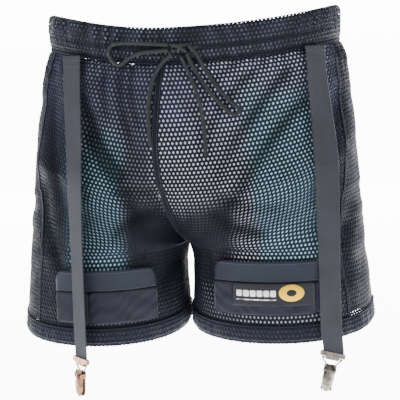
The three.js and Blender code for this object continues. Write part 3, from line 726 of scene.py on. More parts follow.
def centripetal(points: Array, count: int) -> Array:
    """Evenly spaced points of the centripetal curve through the given ones.

    Args:
        points: The points that the curve passes through.
        count: How many points to return.

    Returns:
        The points along the curve.
    """
    p = np.asarray(points, float)
    p = np.concatenate([[2 * p[0] - p[1]], p, [2 * p[-1] - p[-2]]])
    dense = []
    for i in range(1, len(p) - 2):
        q = p[i - 1 : i + 3]
        d = np.maximum(np.linalg.norm(np.diff(q, axis=0), axis=1) ** 0.5, 1e-6)
        t1 = ((q[1] - q[0]) / d[0] - (q[2] - q[0]) / (d[0] + d[1]) + (q[2] - q[1]) / d[1]) * d[1]
        t2 = ((q[2] - q[1]) / d[1] - (q[3] - q[1]) / (d[1] + d[2]) + (q[3] - q[2]) / d[2]) * d[1]
        s = np.linspace(0, 1, 24, endpoint=i == len(p) - 3)[:, None]
        dense.append(q[1] + t1 * s + (3 * (q[2] - q[1]) - 2 * t1 - t2) * s**2
                     + (2 * (q[1] - q[2]) + t1 + t2) * s**3)
    line = np.concatenate(dense)
    reach = run_along(line)
    stops = np.linspace(0, reach[-1], count)
    return np.stack([np.interp(stops, reach, line[:, k]) for k in range(3)], -1)


def braided(path: Array, radius: float, sides: int = 16, plait: float = 0.05,
            pitch: float = 0.0062) -> tuple[Array, list[tuple[int, ...]]]:
    """A round cord along a path, with the small diamonds of its braid raised on it.

    Args:
        path: The points followed.
        radius: The cord's radius.
        sides: Corners round it.
        plait: How far the hollows lie under the radius, as a share of it.
        pitch: The length in which a strand goes half round.

    Returns:
        Points and faces of the closed cord.
    """
    along = unit(np.gradient(path, axis=0))
    up = np.zeros_like(path)
    up[0] = unit(np.cross(along[0], (0.3, 0.9, 0.2)))
    for i in range(1, len(path)):
        up[i] = unit(up[i - 1] - along[i] * np.dot(up[i - 1], along[i]))
    across = np.cross(along, up)
    reach = run_along(path)
    a = np.linspace(0, 2 * np.pi, sides, endpoint=False)
    turn = 2 * np.pi * reach[:, None] / pitch
    weave = np.abs(np.sin(2 * a + turn)) * np.abs(np.sin(2 * a - turn))
    r = radius * (1 - plait + 2.2 * plait * weave)
    r[0] *= 0.8
    r[-1] *= 0.8
    ring = across[:, None] * np.cos(a)[None, :, None] + up[:, None] * np.sin(a)[None, :, None]
    points = path[:, None] + ring * r[..., None]
    faces = grid_faces(len(path), sides, wrap=True)
    faces = [f[::-1] for f in faces]
    faces.append(tuple(range(sides)))
    faces.append(tuple(range((len(path) - 1) * sides, len(path) * sides))[::-1])
    return points.reshape(-1, 3), faces


# ---- Node trees for what repeats ----
class Trees:
    """The geometry node trees, each made once, and their use on a mesh."""

    def __init__(self) -> None:
        """Starts with no trees."""
        self._made: dict[str, bpy.types.NodeTree] = {}

    def holes(self) -> bpy.types.NodeTree:
        """Cuts a hole in the middle of every cell and gives the sheet its thickness.

        Returns:
            The tree.
        """
        if "holes" in self._made:
            return self._made["holes"]
        tree, start, end = self._blank("Holes", {"Hole Share": 0.5, "Thickness": 0.0005})
        new, link = tree.nodes.new, tree.links.new
        inset = new("GeometryNodeExtrudeMesh")
        inset.inputs["Offset Scale"].default_value = 0.0
        inset.inputs["Individual"].default_value = True
        link(start.outputs["Geometry"], inset.inputs["Mesh"])
        shrink = new("GeometryNodeScaleElements")
        link(inset.outputs["Mesh"], shrink.inputs["Geometry"])
        link(inset.outputs["Top"], shrink.inputs["Selection"])
        link(start.outputs["Hole Share"], shrink.inputs["Scale"])
        open_ = new("GeometryNodeDeleteGeometry")
        open_.domain = "FACE"
        link(shrink.outputs["Geometry"], open_.inputs["Geometry"])
        link(inset.outputs["Top"], open_.inputs["Selection"])
        thick = new("GeometryNodeExtrudeMesh")
        thick.inputs["Individual"].default_value = False
        link(open_.outputs["Geometry"], thick.inputs["Mesh"])
        link(start.outputs["Thickness"], thick.inputs["Offset Scale"])
        back = new("GeometryNodeFlipFaces")
        link(open_.outputs["Geometry"], back.inputs["Mesh"])
        both = new("GeometryNodeJoinGeometry")
        link(back.outputs["Mesh"], both.inputs["Geometry"])
        link(thick.outputs["Mesh"], both.inputs["Geometry"])
        weld = new("GeometryNodeMergeByDistance")
        weld.inputs["Distance"].default_value = 0.00001
        link(both.outputs["Geometry"], weld.inputs["Geometry"])
        self._finish(tree, weld.outputs["Geometry"], start, end)
        return tree

    def stitches(self) -> bpy.types.NodeTree:
        """Lays short rounded stitches along every line of the input.

        Returns:
            The tree.
        """
        if "stitches" in self._made:
            return self._made["stitches"]
        tree, start, end = self._blank("Stitches", {"Pitch": 0.003, "Length": 0.0021, "Width": 0.0006})
        new, link = tree.nodes.new, tree.links.new
        curve = new("GeometryNodeMeshToCurve")
        link(start.outputs["Geometry"], curve.inputs["Mesh"])
        points = new("GeometryNodeCurveToPoints")
        points.mode = "LENGTH"
        link(curve.outputs["Curve"], points.inputs["Curve"])
        link(start.outputs["Pitch"], points.inputs["Length"])
        turn = new("FunctionNodeAlignRotationToVector")
        turn.axis = "Z"
        link(points.outputs["Tangent"], turn.inputs["Vector"])
        ball = new("GeometryNodeMeshUVSphere")
        ball.inputs["Segments"].default_value = 6
        ball.inputs["Rings"].default_value = 4
        ball.inputs["Radius"].default_value = 0.5
        size = new("ShaderNodeCombineXYZ")
        link(start.outputs["Width"], size.inputs["X"])
        link(start.outputs["Width"], size.inputs["Y"])
        link(start.outputs["Length"], size.inputs["Z"])
        lay = new("GeometryNodeInstanceOnPoints")
        link(points.outputs["Points"], lay.inputs["Points"])
        link(ball.outputs["Mesh"], lay.inputs["Instance"])
        link(turn.outputs["Rotation"], lay.inputs["Rotation"])
        link(size.outputs["Vector"], lay.inputs["Scale"])
        self._finish(tree, lay.outputs["Instances"], start, end)
        return tree

    def _blank(self, name: str, values: dict[str, float]
               ) -> tuple[bpy.types.NodeTree, bpy.types.Node, bpy.types.Node]:
        """A tree with a geometry, a material and number inputs, and its two end nodes.

        Args:
            name: The tree's name.
            values: Its number inputs and what they start at.

        Returns:
            The tree, its input node and its output node.
        """
        tree = bpy.data.node_groups.new(name, "GeometryNodeTree")
        tree.interface.new_socket("Geometry", in_out="INPUT", socket_type="NodeSocketGeometry")
        tree.interface.new_socket("Geometry", in_out="OUTPUT", socket_type="NodeSocketGeometry")
        for key, value in values.items():
            made = tree.interface.new_socket(key, in_out="INPUT", socket_type="NodeSocketFloat")
            made.default_value = value
        tree.interface.new_socket("Material", in_out="INPUT", socket_type="NodeSocketMaterial")
        return tree, tree.nodes.new("NodeGroupInput"), tree.nodes.new("NodeGroupOutput")

    def _finish(self, tree: bpy.types.NodeTree, result: bpy.types.NodeSocket,
                start: bpy.types.Node, end: bpy.types.Node) -> None:
        """Makes the result real, gives it the material and keeps the tree.

        Args:
            tree: The tree.
            result: The socket that holds what was made.
            start: Its input node.
            end: Its output node.
        """
        real = tree.nodes.new("GeometryNodeRealizeInstances")
        paint = tree.nodes.new("GeometryNodeSetMaterial")
        tree.links.new(result, real.inputs["Geometry"])
        tree.links.new(real.outputs["Geometry"], paint.inputs["Geometry"])
        tree.links.new(start.outputs["Material"], paint.inputs["Material"])
        tree.links.new(paint.outputs["Geometry"], end.inputs["Geometry"])
        self._made[tree.name.lower()] = tree

    def apply(self, made: bpy.types.Object, tree: bpy.types.NodeTree, finish: Finish,
              shade_smooth: bool = True, **values: float) -> bpy.types.Object:
        """Runs a tree on a mesh and keeps the result as a plain mesh.

        Args:
            made: The mesh object, changed in place.
            tree: The tree to run.
            finish: The finish of the result.
            shade_smooth: Whether the result is shaded smooth.
            values: The tree's own inputs, by name with _ for spaces.

        Returns:
            The same object.
        """
        modifier = made.modifiers.new("tree", "NODES")
        modifier.node_group = tree
        named = {k.replace("_", " ").title(): v for k, v in values.items()}
        for item in tree.interface.items_tree:
            if item.in_out == "INPUT" and item.name in named:
                modifier[item.identifier] = named[item.name]
            if item.in_out == "INPUT" and item.name == "Material":
                modifier[item.identifier] = PAINT.of(finish)
        graph = bpy.context.evaluated_depsgraph_get()
        mesh = bpy.data.meshes.new_from_object(made.evaluated_get(graph))
        made.modifiers.remove(modifier)
        made.data = mesh
        mesh.name = made.name
        if not mesh.materials:
            mesh.materials.append(PAINT.of(finish))
        if shade_smooth:
            mesh.polygons.foreach_set("use_smooth", [True] * len(mesh.polygons))
        return made


TREES = Trees()


@dataclass(frozen=True)
class Knit:
    """The open mesh: hole spacing round and down the cloth, hole size and thickness."""

    pitch: float = 0.0049
    row: float = 0.0049
    hole: float = 0.50
    thickness: float = 0.0005


def knit_cells(table_s: Callable[[float], tuple[Array, Array]], t_low: float, t_high: float,
               knit: Knit, ring: int = 0) -> tuple[Array, Array, list[tuple[int, ...]]]:
    """Lays staggered six-sided cells over a strip of cloth.

    Args:
        table_s: For a distance down, the arc lengths across and the shares they lie at.
        t_low: Distance down at which the strip starts.
        t_high: Distance down at which it ends.
        knit: The cells' spacing.
        ring: The number of cells once round, if the strip closes on itself.

    Returns:
        The shares across and distances down of the corners, and the cells.
    """
    corners: dict[tuple[int, int], int] = {}
    cells = []
    rows = round((t_high - t_low) / knit.row)
    row = (t_high - t_low) / rows
    for j in range(rows + 1):
        t = t_low + j * row
        s, _ = table_s(min(max(t, t_low), t_high))
        low = math.ceil(s[0] / knit.pitch - 0.5 * (j % 2) + 0.1)
        high = math.floor(s[-1] / knit.pitch - 0.5 * (j % 2) - 0.1)
        for i in range(ring) if ring else range(low, high + 1):
            cell = []
            for dx, dy in ((0, -2), (1, -1), (1, 1), (0, 2), (-1, 1), (-1, -1)):
                x = 2 * i + j % 2 + dx
                key = (x % (2 * ring) if ring else x, 3 * j + dy)
                cell.append(corners.setdefault(key, len(corners)))
            cells.append(tuple(cell))
    keys = np.array(list(corners), float)
    down = np.clip(t_low + keys[:, 1] * row / 3, t_low, t_high)
    across = np.empty(len(keys))
    for t in np.unique(down):
        s, share = table_s(t)
        here = down == t
        across[here] = np.interp(keys[here, 0] * knit.pitch / 2, s, share)
    return across, down, cells


def orient(points: Array, cells: list[tuple[int, ...]], normals: Array) -> list[tuple[int, ...]]:
    """The cells wound so that they face along the normals.

    Args:
        points: The corner points.
        cells: The cells, as corner numbers.
        normals: The outward direction at each corner.

    Returns:
        The cells, turned where needed.
    """
    a, b, c = (points[[f[k] for f in cells]] for k in (0, 2, 4))
    facing = (np.cross(b - a, c - a) * normals[[f[0] for f in cells]]).sum(-1)
    return [f if good >= 0 else f[::-1] for f, good in zip(cells, facing)]


# ---- Parts of the garment ----
@dataclass
class Part:
    """What every sub-assembly shares: the form and the frame's nodes."""

    form: GarmentForm
    nodes: dict

    def keep(self, made: bpy.types.Object, body: str, slot: str, *nodes: str) -> bpy.types.Object:
        """Puts a finished piece on its body and hides the nodes that it stands for.

        Args:
            made: The finished piece.
            body: The body that it rides on.
            slot: Not used.
            nodes: The nodes that it stands for.

        Returns:
            The same object.
        """
        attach(made, body)
        if nodes:
            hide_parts(*nodes)
        log.info("%s: %d faces", made.name, len(made.data.polygons))
        return made

    def dress(self, node: str, finish: Finish) -> None:
        """Gives a node that stays a better material.

        Args:
            node: The node's name.
            finish: The finish that it gets.
        """
        made = self.nodes[node]
        for slot in made.material_slots:
            slot.material = PAINT.of(finish)
        log.info("%s: %s", node, finish.name)


@dataclass
class Panels(Part):
    """The mesh panels of the body, their linings and the seams between them."""

    knit: Knit = field(default_factory=Knit)
    side_knit: Knit = field(default_factory=lambda: Knit(hole=0.38))

    def build(self) -> None:
        """Builds every panel, liner and seam."""
        gap = 0.0004 / self.form.sizes.side_length
        for side in Side:
            for where, front in (("front", True), ("back", False)):
                span = (0.003, self.form.sizes.side_panel_start - 0.003)
                at = lambda u, v, s=side.value, f=front: (s, f, u, v)
                self.panel(f"{where}_panel_{side.word}", at, span, 0.4, gap, MESH, self.knit)
            reach = 1 - self.form.sizes.side_panel_start - 0.003
            at = lambda w, v, s=side.value: (s, w < 0, 1 - np.abs(w), v)
            self.panel(f"side_panel_{side.word}", at, (-reach, reach), 0.0, gap, PLAIN, self.side_knit)
            self.side_backing(side, at, reach)
            self.liner(side)
            self.seams(side)
        self.centre_seams()

    def panel(self, name: str, at: Callable, span: tuple[float, float], ref: float, gap: float,
              finish: Finish, knit: Knit) -> None:
        """One open-mesh panel between two seams.

        Args:
            name: The panel's node.
            at: Turns shares across and down into a place on the form.
            span: The first and last share across.
            ref: The share at which the rows are lined up.
            gap: The share left free at the top and bottom.
            finish: Its finish.
            knit: The mesh's spacing, holes and thickness.
        """
        columns, rows = 90, 80
        shares = np.linspace(*span, columns)
        levels = np.linspace(gap, 1 - gap, rows)
        w, v = np.meshgrid(shares, levels)
        base = self.form.drape(self.form.raw(*at(w, v)))
        steps = np.linalg.norm(np.diff(base, axis=1), axis=-1)
        reach = np.concatenate([np.zeros((rows, 1)), np.cumsum(steps, axis=1)], axis=1)
        reach -= np.array([np.interp(ref, shares, r) for r in reach])[:, None]
        drops = np.linalg.norm(np.diff(base, axis=0), axis=-1).mean(axis=1)
        fall = np.concatenate([[0.0], np.cumsum(drops)])

        def table(t: float) -> tuple[Array, Array]:
            """Arc lengths across at a distance down, and the shares that they belong to."""
            k = float(np.interp(t, fall, np.arange(rows)))
            low = min(int(k), rows - 2)
            return mix(reach[low], reach[low + 1], k - low), shares

        across, down, cells = knit_cells(table, 0.0, float(fall[-1]), knit)
        where = at(across, np.interp(down, fall, levels))
        points = self.form.place(*where, out=np.full(len(across), -knit.thickness))
        cells = orient(points, cells, self.form.normal(*where))
        made = make_mesh(name + "_knit", points, cells, finish)
        TREES.apply(made, TREES.holes(), finish, hole_share=knit.hole, thickness=knit.thickness)
        # The mesh gets painted sheen on its upper part, a teal tint and painted shade in the folds.
        if finish is MESH:
            self.tint(made, self.thread_tone)
        self.keep(made, "shorts", finish.slot, name)

    def liner(self, side: Side) -> None:
        """The pale lining behind a front panel, tinted teal over the thighs and with painted shade.

        Args:
            side: The wearer's side.
        """
        u, v = np.meshgrid(np.linspace(0.002, 0.777, 90), np.linspace(0.002, 0.998, 130))
        outer = self.form.place(side.value, True, u, v, np.full(u.shape, -BEHIND_MESH))
        inner = self.form.place(side.value, True, u, v, np.full(u.shape, -BEHIND_MESH - LINER_CLOTH))
        made = closed_sheet(f"liner_{side.word}_cloth", outer, inner, LINER)
        # Painted shade: the liner's inner face is painted a darker grey.
        self.tint(made, self.liner_tone, behind=0.45)
        self.keep(made, "shorts", "liner_knit", f"liner_{side.word}")

    def side_backing(self, side: Side, at: Callable, reach: float) -> None:
        """The plain dark cloth doubled behind a side panel, down to just above the hem.

        Args:
            side: The wearer's side.
            at: Turns shares across and down into a place on the form.
            reach: How far it goes to either side of the middle.
        """
        w, v = np.meshgrid(np.linspace(-reach, reach, 40), np.linspace(0.002, 0.985, 80))
        outer = self.form.place(*at(w, v), out=np.full(w.shape, -BEHIND_MESH))
        inner = self.form.place(*at(w, v), out=np.full(w.shape, -BEHIND_MESH - BACKING_CLOTH))
        made = closed_sheet(f"side_backing_{side.word}", outer, inner, BACKING)
        self.keep(made, "shorts", "dark_knit")

    @staticmethod
    def teal_zones(p: Array) -> tuple[Array, Array]:
        """Shares of the teal tint over the wearer's left and right thighs.

        Args:
            p: Points of the draped form.

        Returns:
            The shares on the left and on the right.
        """
        x, z = p[:, 0], p[:, 2]
        slant = 0.10 * (z + 0.2)
        left = smooth((x - 0.062 + slant) / 0.022) * smooth((0.168 - x) / 0.014)
        left *= smooth((z + 0.325) / 0.02) * smooth((-0.075 - z) / 0.05)
        right = smooth((-0.066 - x) / 0.022) * smooth((x + 0.158) / 0.014)
        right *= smooth((-0.115 - z) / 0.05) * smooth((z + 0.325) / 0.02)
        return left, right

    def liner_tone(self, p: Array) -> Array:
        """The lining's teal tint and painted shade at points of the draped form.

        Args:
            p: Points of the draped form.

        Returns:
            A tint for each point.
        """
        x, z = p[:, 0], p[:, 2]
        left, right = self.teal_zones(p)
        tone = np.ones((len(p), 3))
        tone = mix(tone, np.array([0.80, 1.10, 1.04]), left[:, None])
        tone = mix(tone, np.array([0.48, 0.74, 0.71]), right[:, None])
        # Painted shade: darker over the inner thighs, near the hem, at the hips and beside the centre
        # seam.
        inseam = -0.010 - 0.004 * smooth((-z - 0.2) / 0.1)
        off = np.abs(x - inseam)
        thigh = smooth((-0.222 - z + 0.35 * off) / 0.03) * smooth((0.074 - off) / 0.02)
        rim = smooth((-0.318 - z) / 0.012)
        hip = smooth((x - 0.150) / 0.02) + smooth((-0.132 - x) / 0.02)
        painted_shade = (1 - 0.93 * thigh * (1 - 0.5 * rim)) * (1 - 0.80 * np.clip(hip, 0, 1)) * (1 - 0.45 * rim)
        seam = -0.026 - 0.016 * smooth((-z - 0.04) / 0.15) * smooth((z + 0.26) / 0.08)
        painted_shade *= 1 - 0.72 * smooth((seam + 0.004 - x) / 0.012) * (1 - right)
        beside = smooth((0.022 - x) / 0.02) * smooth((x - seam) / 0.01)
        painted_shade *= 1 - 0.45 * smooth((z + 0.150) / 0.06) * beside
        # Painted shade in the folds, darker where the cloth is pressed further in.
        press = np.clip(-self.form.folds(p) / 0.0075, 0, 1)
        return tone * (painted_shade * (1 - 0.8 * press**1.3))[:, None]

    def thread_tone(self, p: Array) -> Array:
        """The open mesh's tint at points of the draped form: painted sheen lightening the upper part, a
        teal tint over the thighs and painted shade in the folds.

        Args:
            p: Points of the draped form.

        Returns:
            A tint for each point.
        """
        left, right = self.teal_zones(p)
        share = (np.clip(left + 0.7 * right, 0, 1) * (p[:, 1] < 0))[:, None]
        # Painted sheen: the upper part of the mesh is lightened.
        hip = smooth((p[:, 2] + 0.20) / 0.10)[:, None]
        painted_sheen = mix(np.ones((len(p), 3)), np.array([2.5, 2.3, 2.6]), hip)
        # Painted shade in the folds.
        press = np.clip(-self.form.folds(p) / 0.0075, 0, 1)[:, None]
        return mix(painted_sheen, np.array([1.5, 3.3, 2.8]), share) * (1 - 0.55 * press)

    @staticmethod
    def tint(made: bpy.types.Object, tone: Callable[[Array], Array], behind: float = 1.0) -> None:
        """Writes a tint on every vertex, which the material multiplies in; it carries painted shade and
        sheen as well.

        Args:
            made: The mesh.
            tone: The tint at points of the form.
            behind: Below 1, the second half of the vertices, the inner face, gets a painted shade: a
                flat grey scaled by this value.
        """
        co = np.empty(len(made.data.vertices) * 3, np.float32)
        made.data.vertices.foreach_get("co", co)
        colors = tone(co.reshape(-1, 3).astype(float))
        if behind < 1:
            # Painted shade on the liner's inner face.
            colors[len(colors) // 2 :] = np.array([0.55, 0.55, 0.6]) * behind
        layer = made.data.color_attributes.new("zone", "FLOAT_COLOR", "POINT")
        layer.data.foreach_set("color", np.concatenate([colors, np.ones((len(colors), 1))], 1).ravel())

    def line(self, name: str, path: Array, normals: Array, finish: Finish, width: float, height: float,
             stitched: bool = True) -> None:
        """A flat seam along a path with a row of stitches down each side.

        Args:
            name: The piece's name.
            path: The points followed.
            normals: The cloth's outward direction at each of them.
            finish: Its finish.
            width: The seam's width.
            height: How far it stands up.
            stitched: Whether it has stitches.
        """
        profile = [(-width / 2, -0.0006), (-width / 2, 0.0001), (-width / 3, height * 0.8), (0, height),
                   (width / 3, height * 0.8), (width / 2, 0.0001), (width / 2, -0.0006)]
        made = face_out(make_mesh(name, *sweep(path, normals, profile), finish))
        self.keep(made, "shorts", finish.slot)
        if stitched:
            along = unit(np.gradient(path, axis=0))
            across = unit(np.cross(along, normals))
            rows = [path + across * s * width * 0.3 + normals * height * 0.95 for s in (-1, 1)]
            stitch_rows(self, name + "_stitches", rows, "shorts")

    def seams(self, side: Side) -> None:
        """The seams of the side panel.

        Args:
            side: The wearer's side.
        """
        start = self.form.sizes.side_panel_start
        v = np.linspace(0.004, 0.996, 120)
        for word, front in (("front", True), ("back", False)):
            u = np.full_like(v, start)
            path = self.form.place(side.value, front, u, v, np.zeros_like(v))
            normals = self.form.normal(side.value, front, u, v)
            self.line(f"side_seam_{word}_{side.word}", path, normals, PLAIN, 0.0048, 0.0007)

    def centre_seams(self) -> None:
        """The raised centre seams and the two inseams."""
        crotch = self.form.sizes.crotch
        for word, front in (("front", True), ("back", False)):
            v = np.linspace(0.004, crotch - 0.03, 110)
            u = np.full_like(v, 0.001)
            path = self.form.place(1, front, u, v, np.zeros_like(v))
            normals = unit(np.gradient(path, axis=0))
            forward = np.array([0, -1.0 if front else 1.0, 0])
            normals = unit(np.cross(np.cross(normals, forward), normals))
            self.line(f"centre_seam_{word}", path, normals, PLAIN, 0.0080, 0.0022)
        for side in Side:
            v = np.linspace(crotch + 0.02, 0.995, 40)
            u = np.zeros_like(v)
            path = self.form.place(side.value, True, u, v, np.zeros_like(v))
            normals = np.tile([-float(side.value), 0, 0], (len(v), 1))
            self.line(f"inseam_{side.word}", path, normals, PLAIN, 0.004, 0.0006, stitched=False)


def stitch_rows(part: Part, name: str, rows: Sequence[Array], body: str, finish: Finish = THREAD,
                pitch: float = 0.0031, length: float = 0.0023, width: float = 0.0007) -> None:
    """Rows of stitches along polylines.

    Args:
        part: The sub-assembly that they belong to.
        name: The piece's name.
        rows: The lines that the stitches follow.
        body: The body that it rides on.
        finish: Its finish.
        pitch: From one stitch to the next.
        length: The length of a stitch.
        width: The width of a stitch.
    """
    points = np.concatenate(rows)
    mesh = bpy.data.meshes.new(name)
    edges, start = [], 0
    for row in rows:
        edges += [(start + i, start + i + 1) for i in range(len(row) - 1)]
        start += len(row)
    mesh.from_pydata([tuple(p) for p in points], edges, [])
    made = bpy.data.objects.new(name, mesh)
    bpy.context.collection.objects.link(made)
    TREES.apply(made, TREES.stitches(), finish, pitch=pitch, length=length, width=width)
    part.keep(made, body, finish.slot)


@dataclass
class Waistband(Part):
    """The gathered casing over its elastic."""

    knit: Knit = field(default_factory=lambda: Knit(hole=0.50, row=0.0050))

    def build(self) -> None:
        """Builds the casing, its stitching and the elastic."""
        z = self.form.sizes
        out, back, high = z.band_out, z.band_in, z.band_height
        profile = np.array([
            (out - 0.0022, 0.0004), (out - 0.0006, 0.007), (out, 0.013), (out + 0.0003, 0.022),
            (out - 0.0004, 0.033), (out - 0.0016, 0.038), (out - 0.0036, high), (back + 0.003, high),
            (back + 0.0008, 0.0375), (back, 0.033), (back, 0.0004),
        ])
        reach = run_along(profile)
        t = np.linspace(0, 1, 721)
        ring = self.form.band(t, np.zeros_like(t), np.zeros_like(t))
        around = run_along(ring)
        count = round(around[-1] / self.knit.pitch)
        knit = Knit(around[-1] / count, self.knit.row, self.knit.hole, self.knit.thickness)
        share, down, cells = knit_cells(lambda _: (around, t), 0.0, reach[-1], knit, ring=count)
        places = np.mod(share, 1.0)
        offs = np.interp(down, reach, profile[:, 0])
        ups = np.interp(down, reach, profile[:, 1])
        face = smooth((0.043 - down) / 0.006)
        points = self.form.band(places, offs + face * self.gathers(places, ups) - knit.thickness, ups)
        one = np.ones_like(places)
        inner = self.form.band(places, one * (out + back) / 2, one * 0.02)
        cells = orient(points, cells, unit(points - inner))
        made = make_mesh("waistband", points, cells, BAND)
        TREES.apply(made, TREES.holes(), BAND, hole_share=knit.hole, thickness=knit.thickness)
        # Painted shade in the creases between the gathers, painted light on the puffs.
        Panels.tint(made, lambda p: np.repeat(self.crease(p)[:, None], 3, axis=1))
        self.keep(made, "shorts", "dark_knit", "waistband_casing")
        self.elastic()
        self.edges()

    def gathers(self, t: Array, up: Array) -> Array:
        """How far the casing puffs out, in metres, deepest at the front.

        Args:
            t: Share of the way round from the centre front.
            up: Height above the waist seam.

        Returns:
            A distance for each point.
        """
        middle = np.exp(-(((np.mod(t + 0.5, 1.0) - 0.43) / 0.12) ** 2))
        slant = up * (3.0 + 2.0 * np.sin(t * 2 * np.pi * 5))
        phase = (t + 0.12 * slant) * 2 * np.pi
        wave = 0.5 + 0.5 * np.sin(phase * 47 + 2.6 * np.sin(phase * 13) + 1.2 * np.sin(up * 120))
        fine = 0.5 + 0.5 * np.sin(phase * 113 + 3.1 * np.sin(phase * 19 + up * 60))
        high = smooth((up - 0.016) / 0.012) * smooth((0.040 - up) / 0.006 + 0.4)
        press = smooth(up / 0.006)
        puff = (0.0008 + 0.0016 * middle) * wave + 0.0004 * fine
        pinch = (0.0004 + 0.0006 * middle) * (1 - wave) + 0.0002 * (1 - fine)
        return high * puff - press * pinch

    def crease(self, p: Array) -> Array:
        """Painted shade and light on the band: below 1 in the creases between gathers, above 1 on the
        puffs.

        Args:
            p: Points of the band.

        Returns:
            A brightness for each point.
        """
        t = np.linspace(-0.5, 0.5, 721)
        ring = self.form.band(t, np.zeros_like(t), np.zeros_like(t))
        angle = np.unwrap(np.arctan2(ring[:, 0], -ring[:, 1]))
        at = np.interp(np.arctan2(p[:, 0], -p[:, 1]), angle, t)
        seam = np.interp(at, t, ring[:, 2])
        rise = self.gathers(at, np.clip(p[:, 2] - seam, 0.020, 0.034))
        top, low = rise.max(), rise.min()
        return 0.5 + 1.1 * (rise - low) / (top - low)

    def elastic(self) -> None:
        """The woven elastic just behind the casing's front."""
        out = self.form.sizes.band_out
        t, k = np.meshgrid(np.linspace(0, 1, 721)[:-1], np.arange(8), indexing="ij")
        section = np.array([(-0.0042, 0.0008), (-0.0028, 0.010), (-0.0024, 0.020), (-0.0034, 0.0378),
                            (-0.0038, 0.0378), (-0.0028, 0.020), (-0.0032, 0.010), (-0.0046, 0.0008)])
        points = self.form.band(t, out + section[k, 0], section[k, 1]).reshape(-1, 3)
        made = face_out(make_mesh("elastic_band", points, tube_faces(*t.shape), ELASTIC))
        # Painted shade on the elastic in the creases between the gathers.
        Panels.tint(made, lambda p: np.repeat(self.crease(p)[:, None] ** 2, 3, axis=1))
        self.keep(made, "shorts", "white_elastic", "waist_elastic")

    def edges(self) -> None:
        """The roll under the casing and the stitches along it."""
        out = self.form.sizes.band_out
        t = np.linspace(0, 1, 400, endpoint=False)
        full = np.zeros_like(t)
        path = self.form.band(t, full + out - 0.0028, full - 0.0004)
        normals = unit(self.form.band(t, full + out, full) - self.form.band(t, full, full))
        roll = sweep(path, normals, oval(0.0034, 0.0030), ring=True)
        made = face_out(make_mesh("waist_seam", *roll, PLAIN))
        self.keep(made, "shorts", "dark_knit")
        closed = np.append(t, 1.0)
        one = np.ones_like(closed)
        rows = [self.form.band(closed, one * (out + o), one * u) for o, u in ((-0.0003, 0.0075),)]
        stitch_rows(self, "waist_stitches", rows, "shorts")


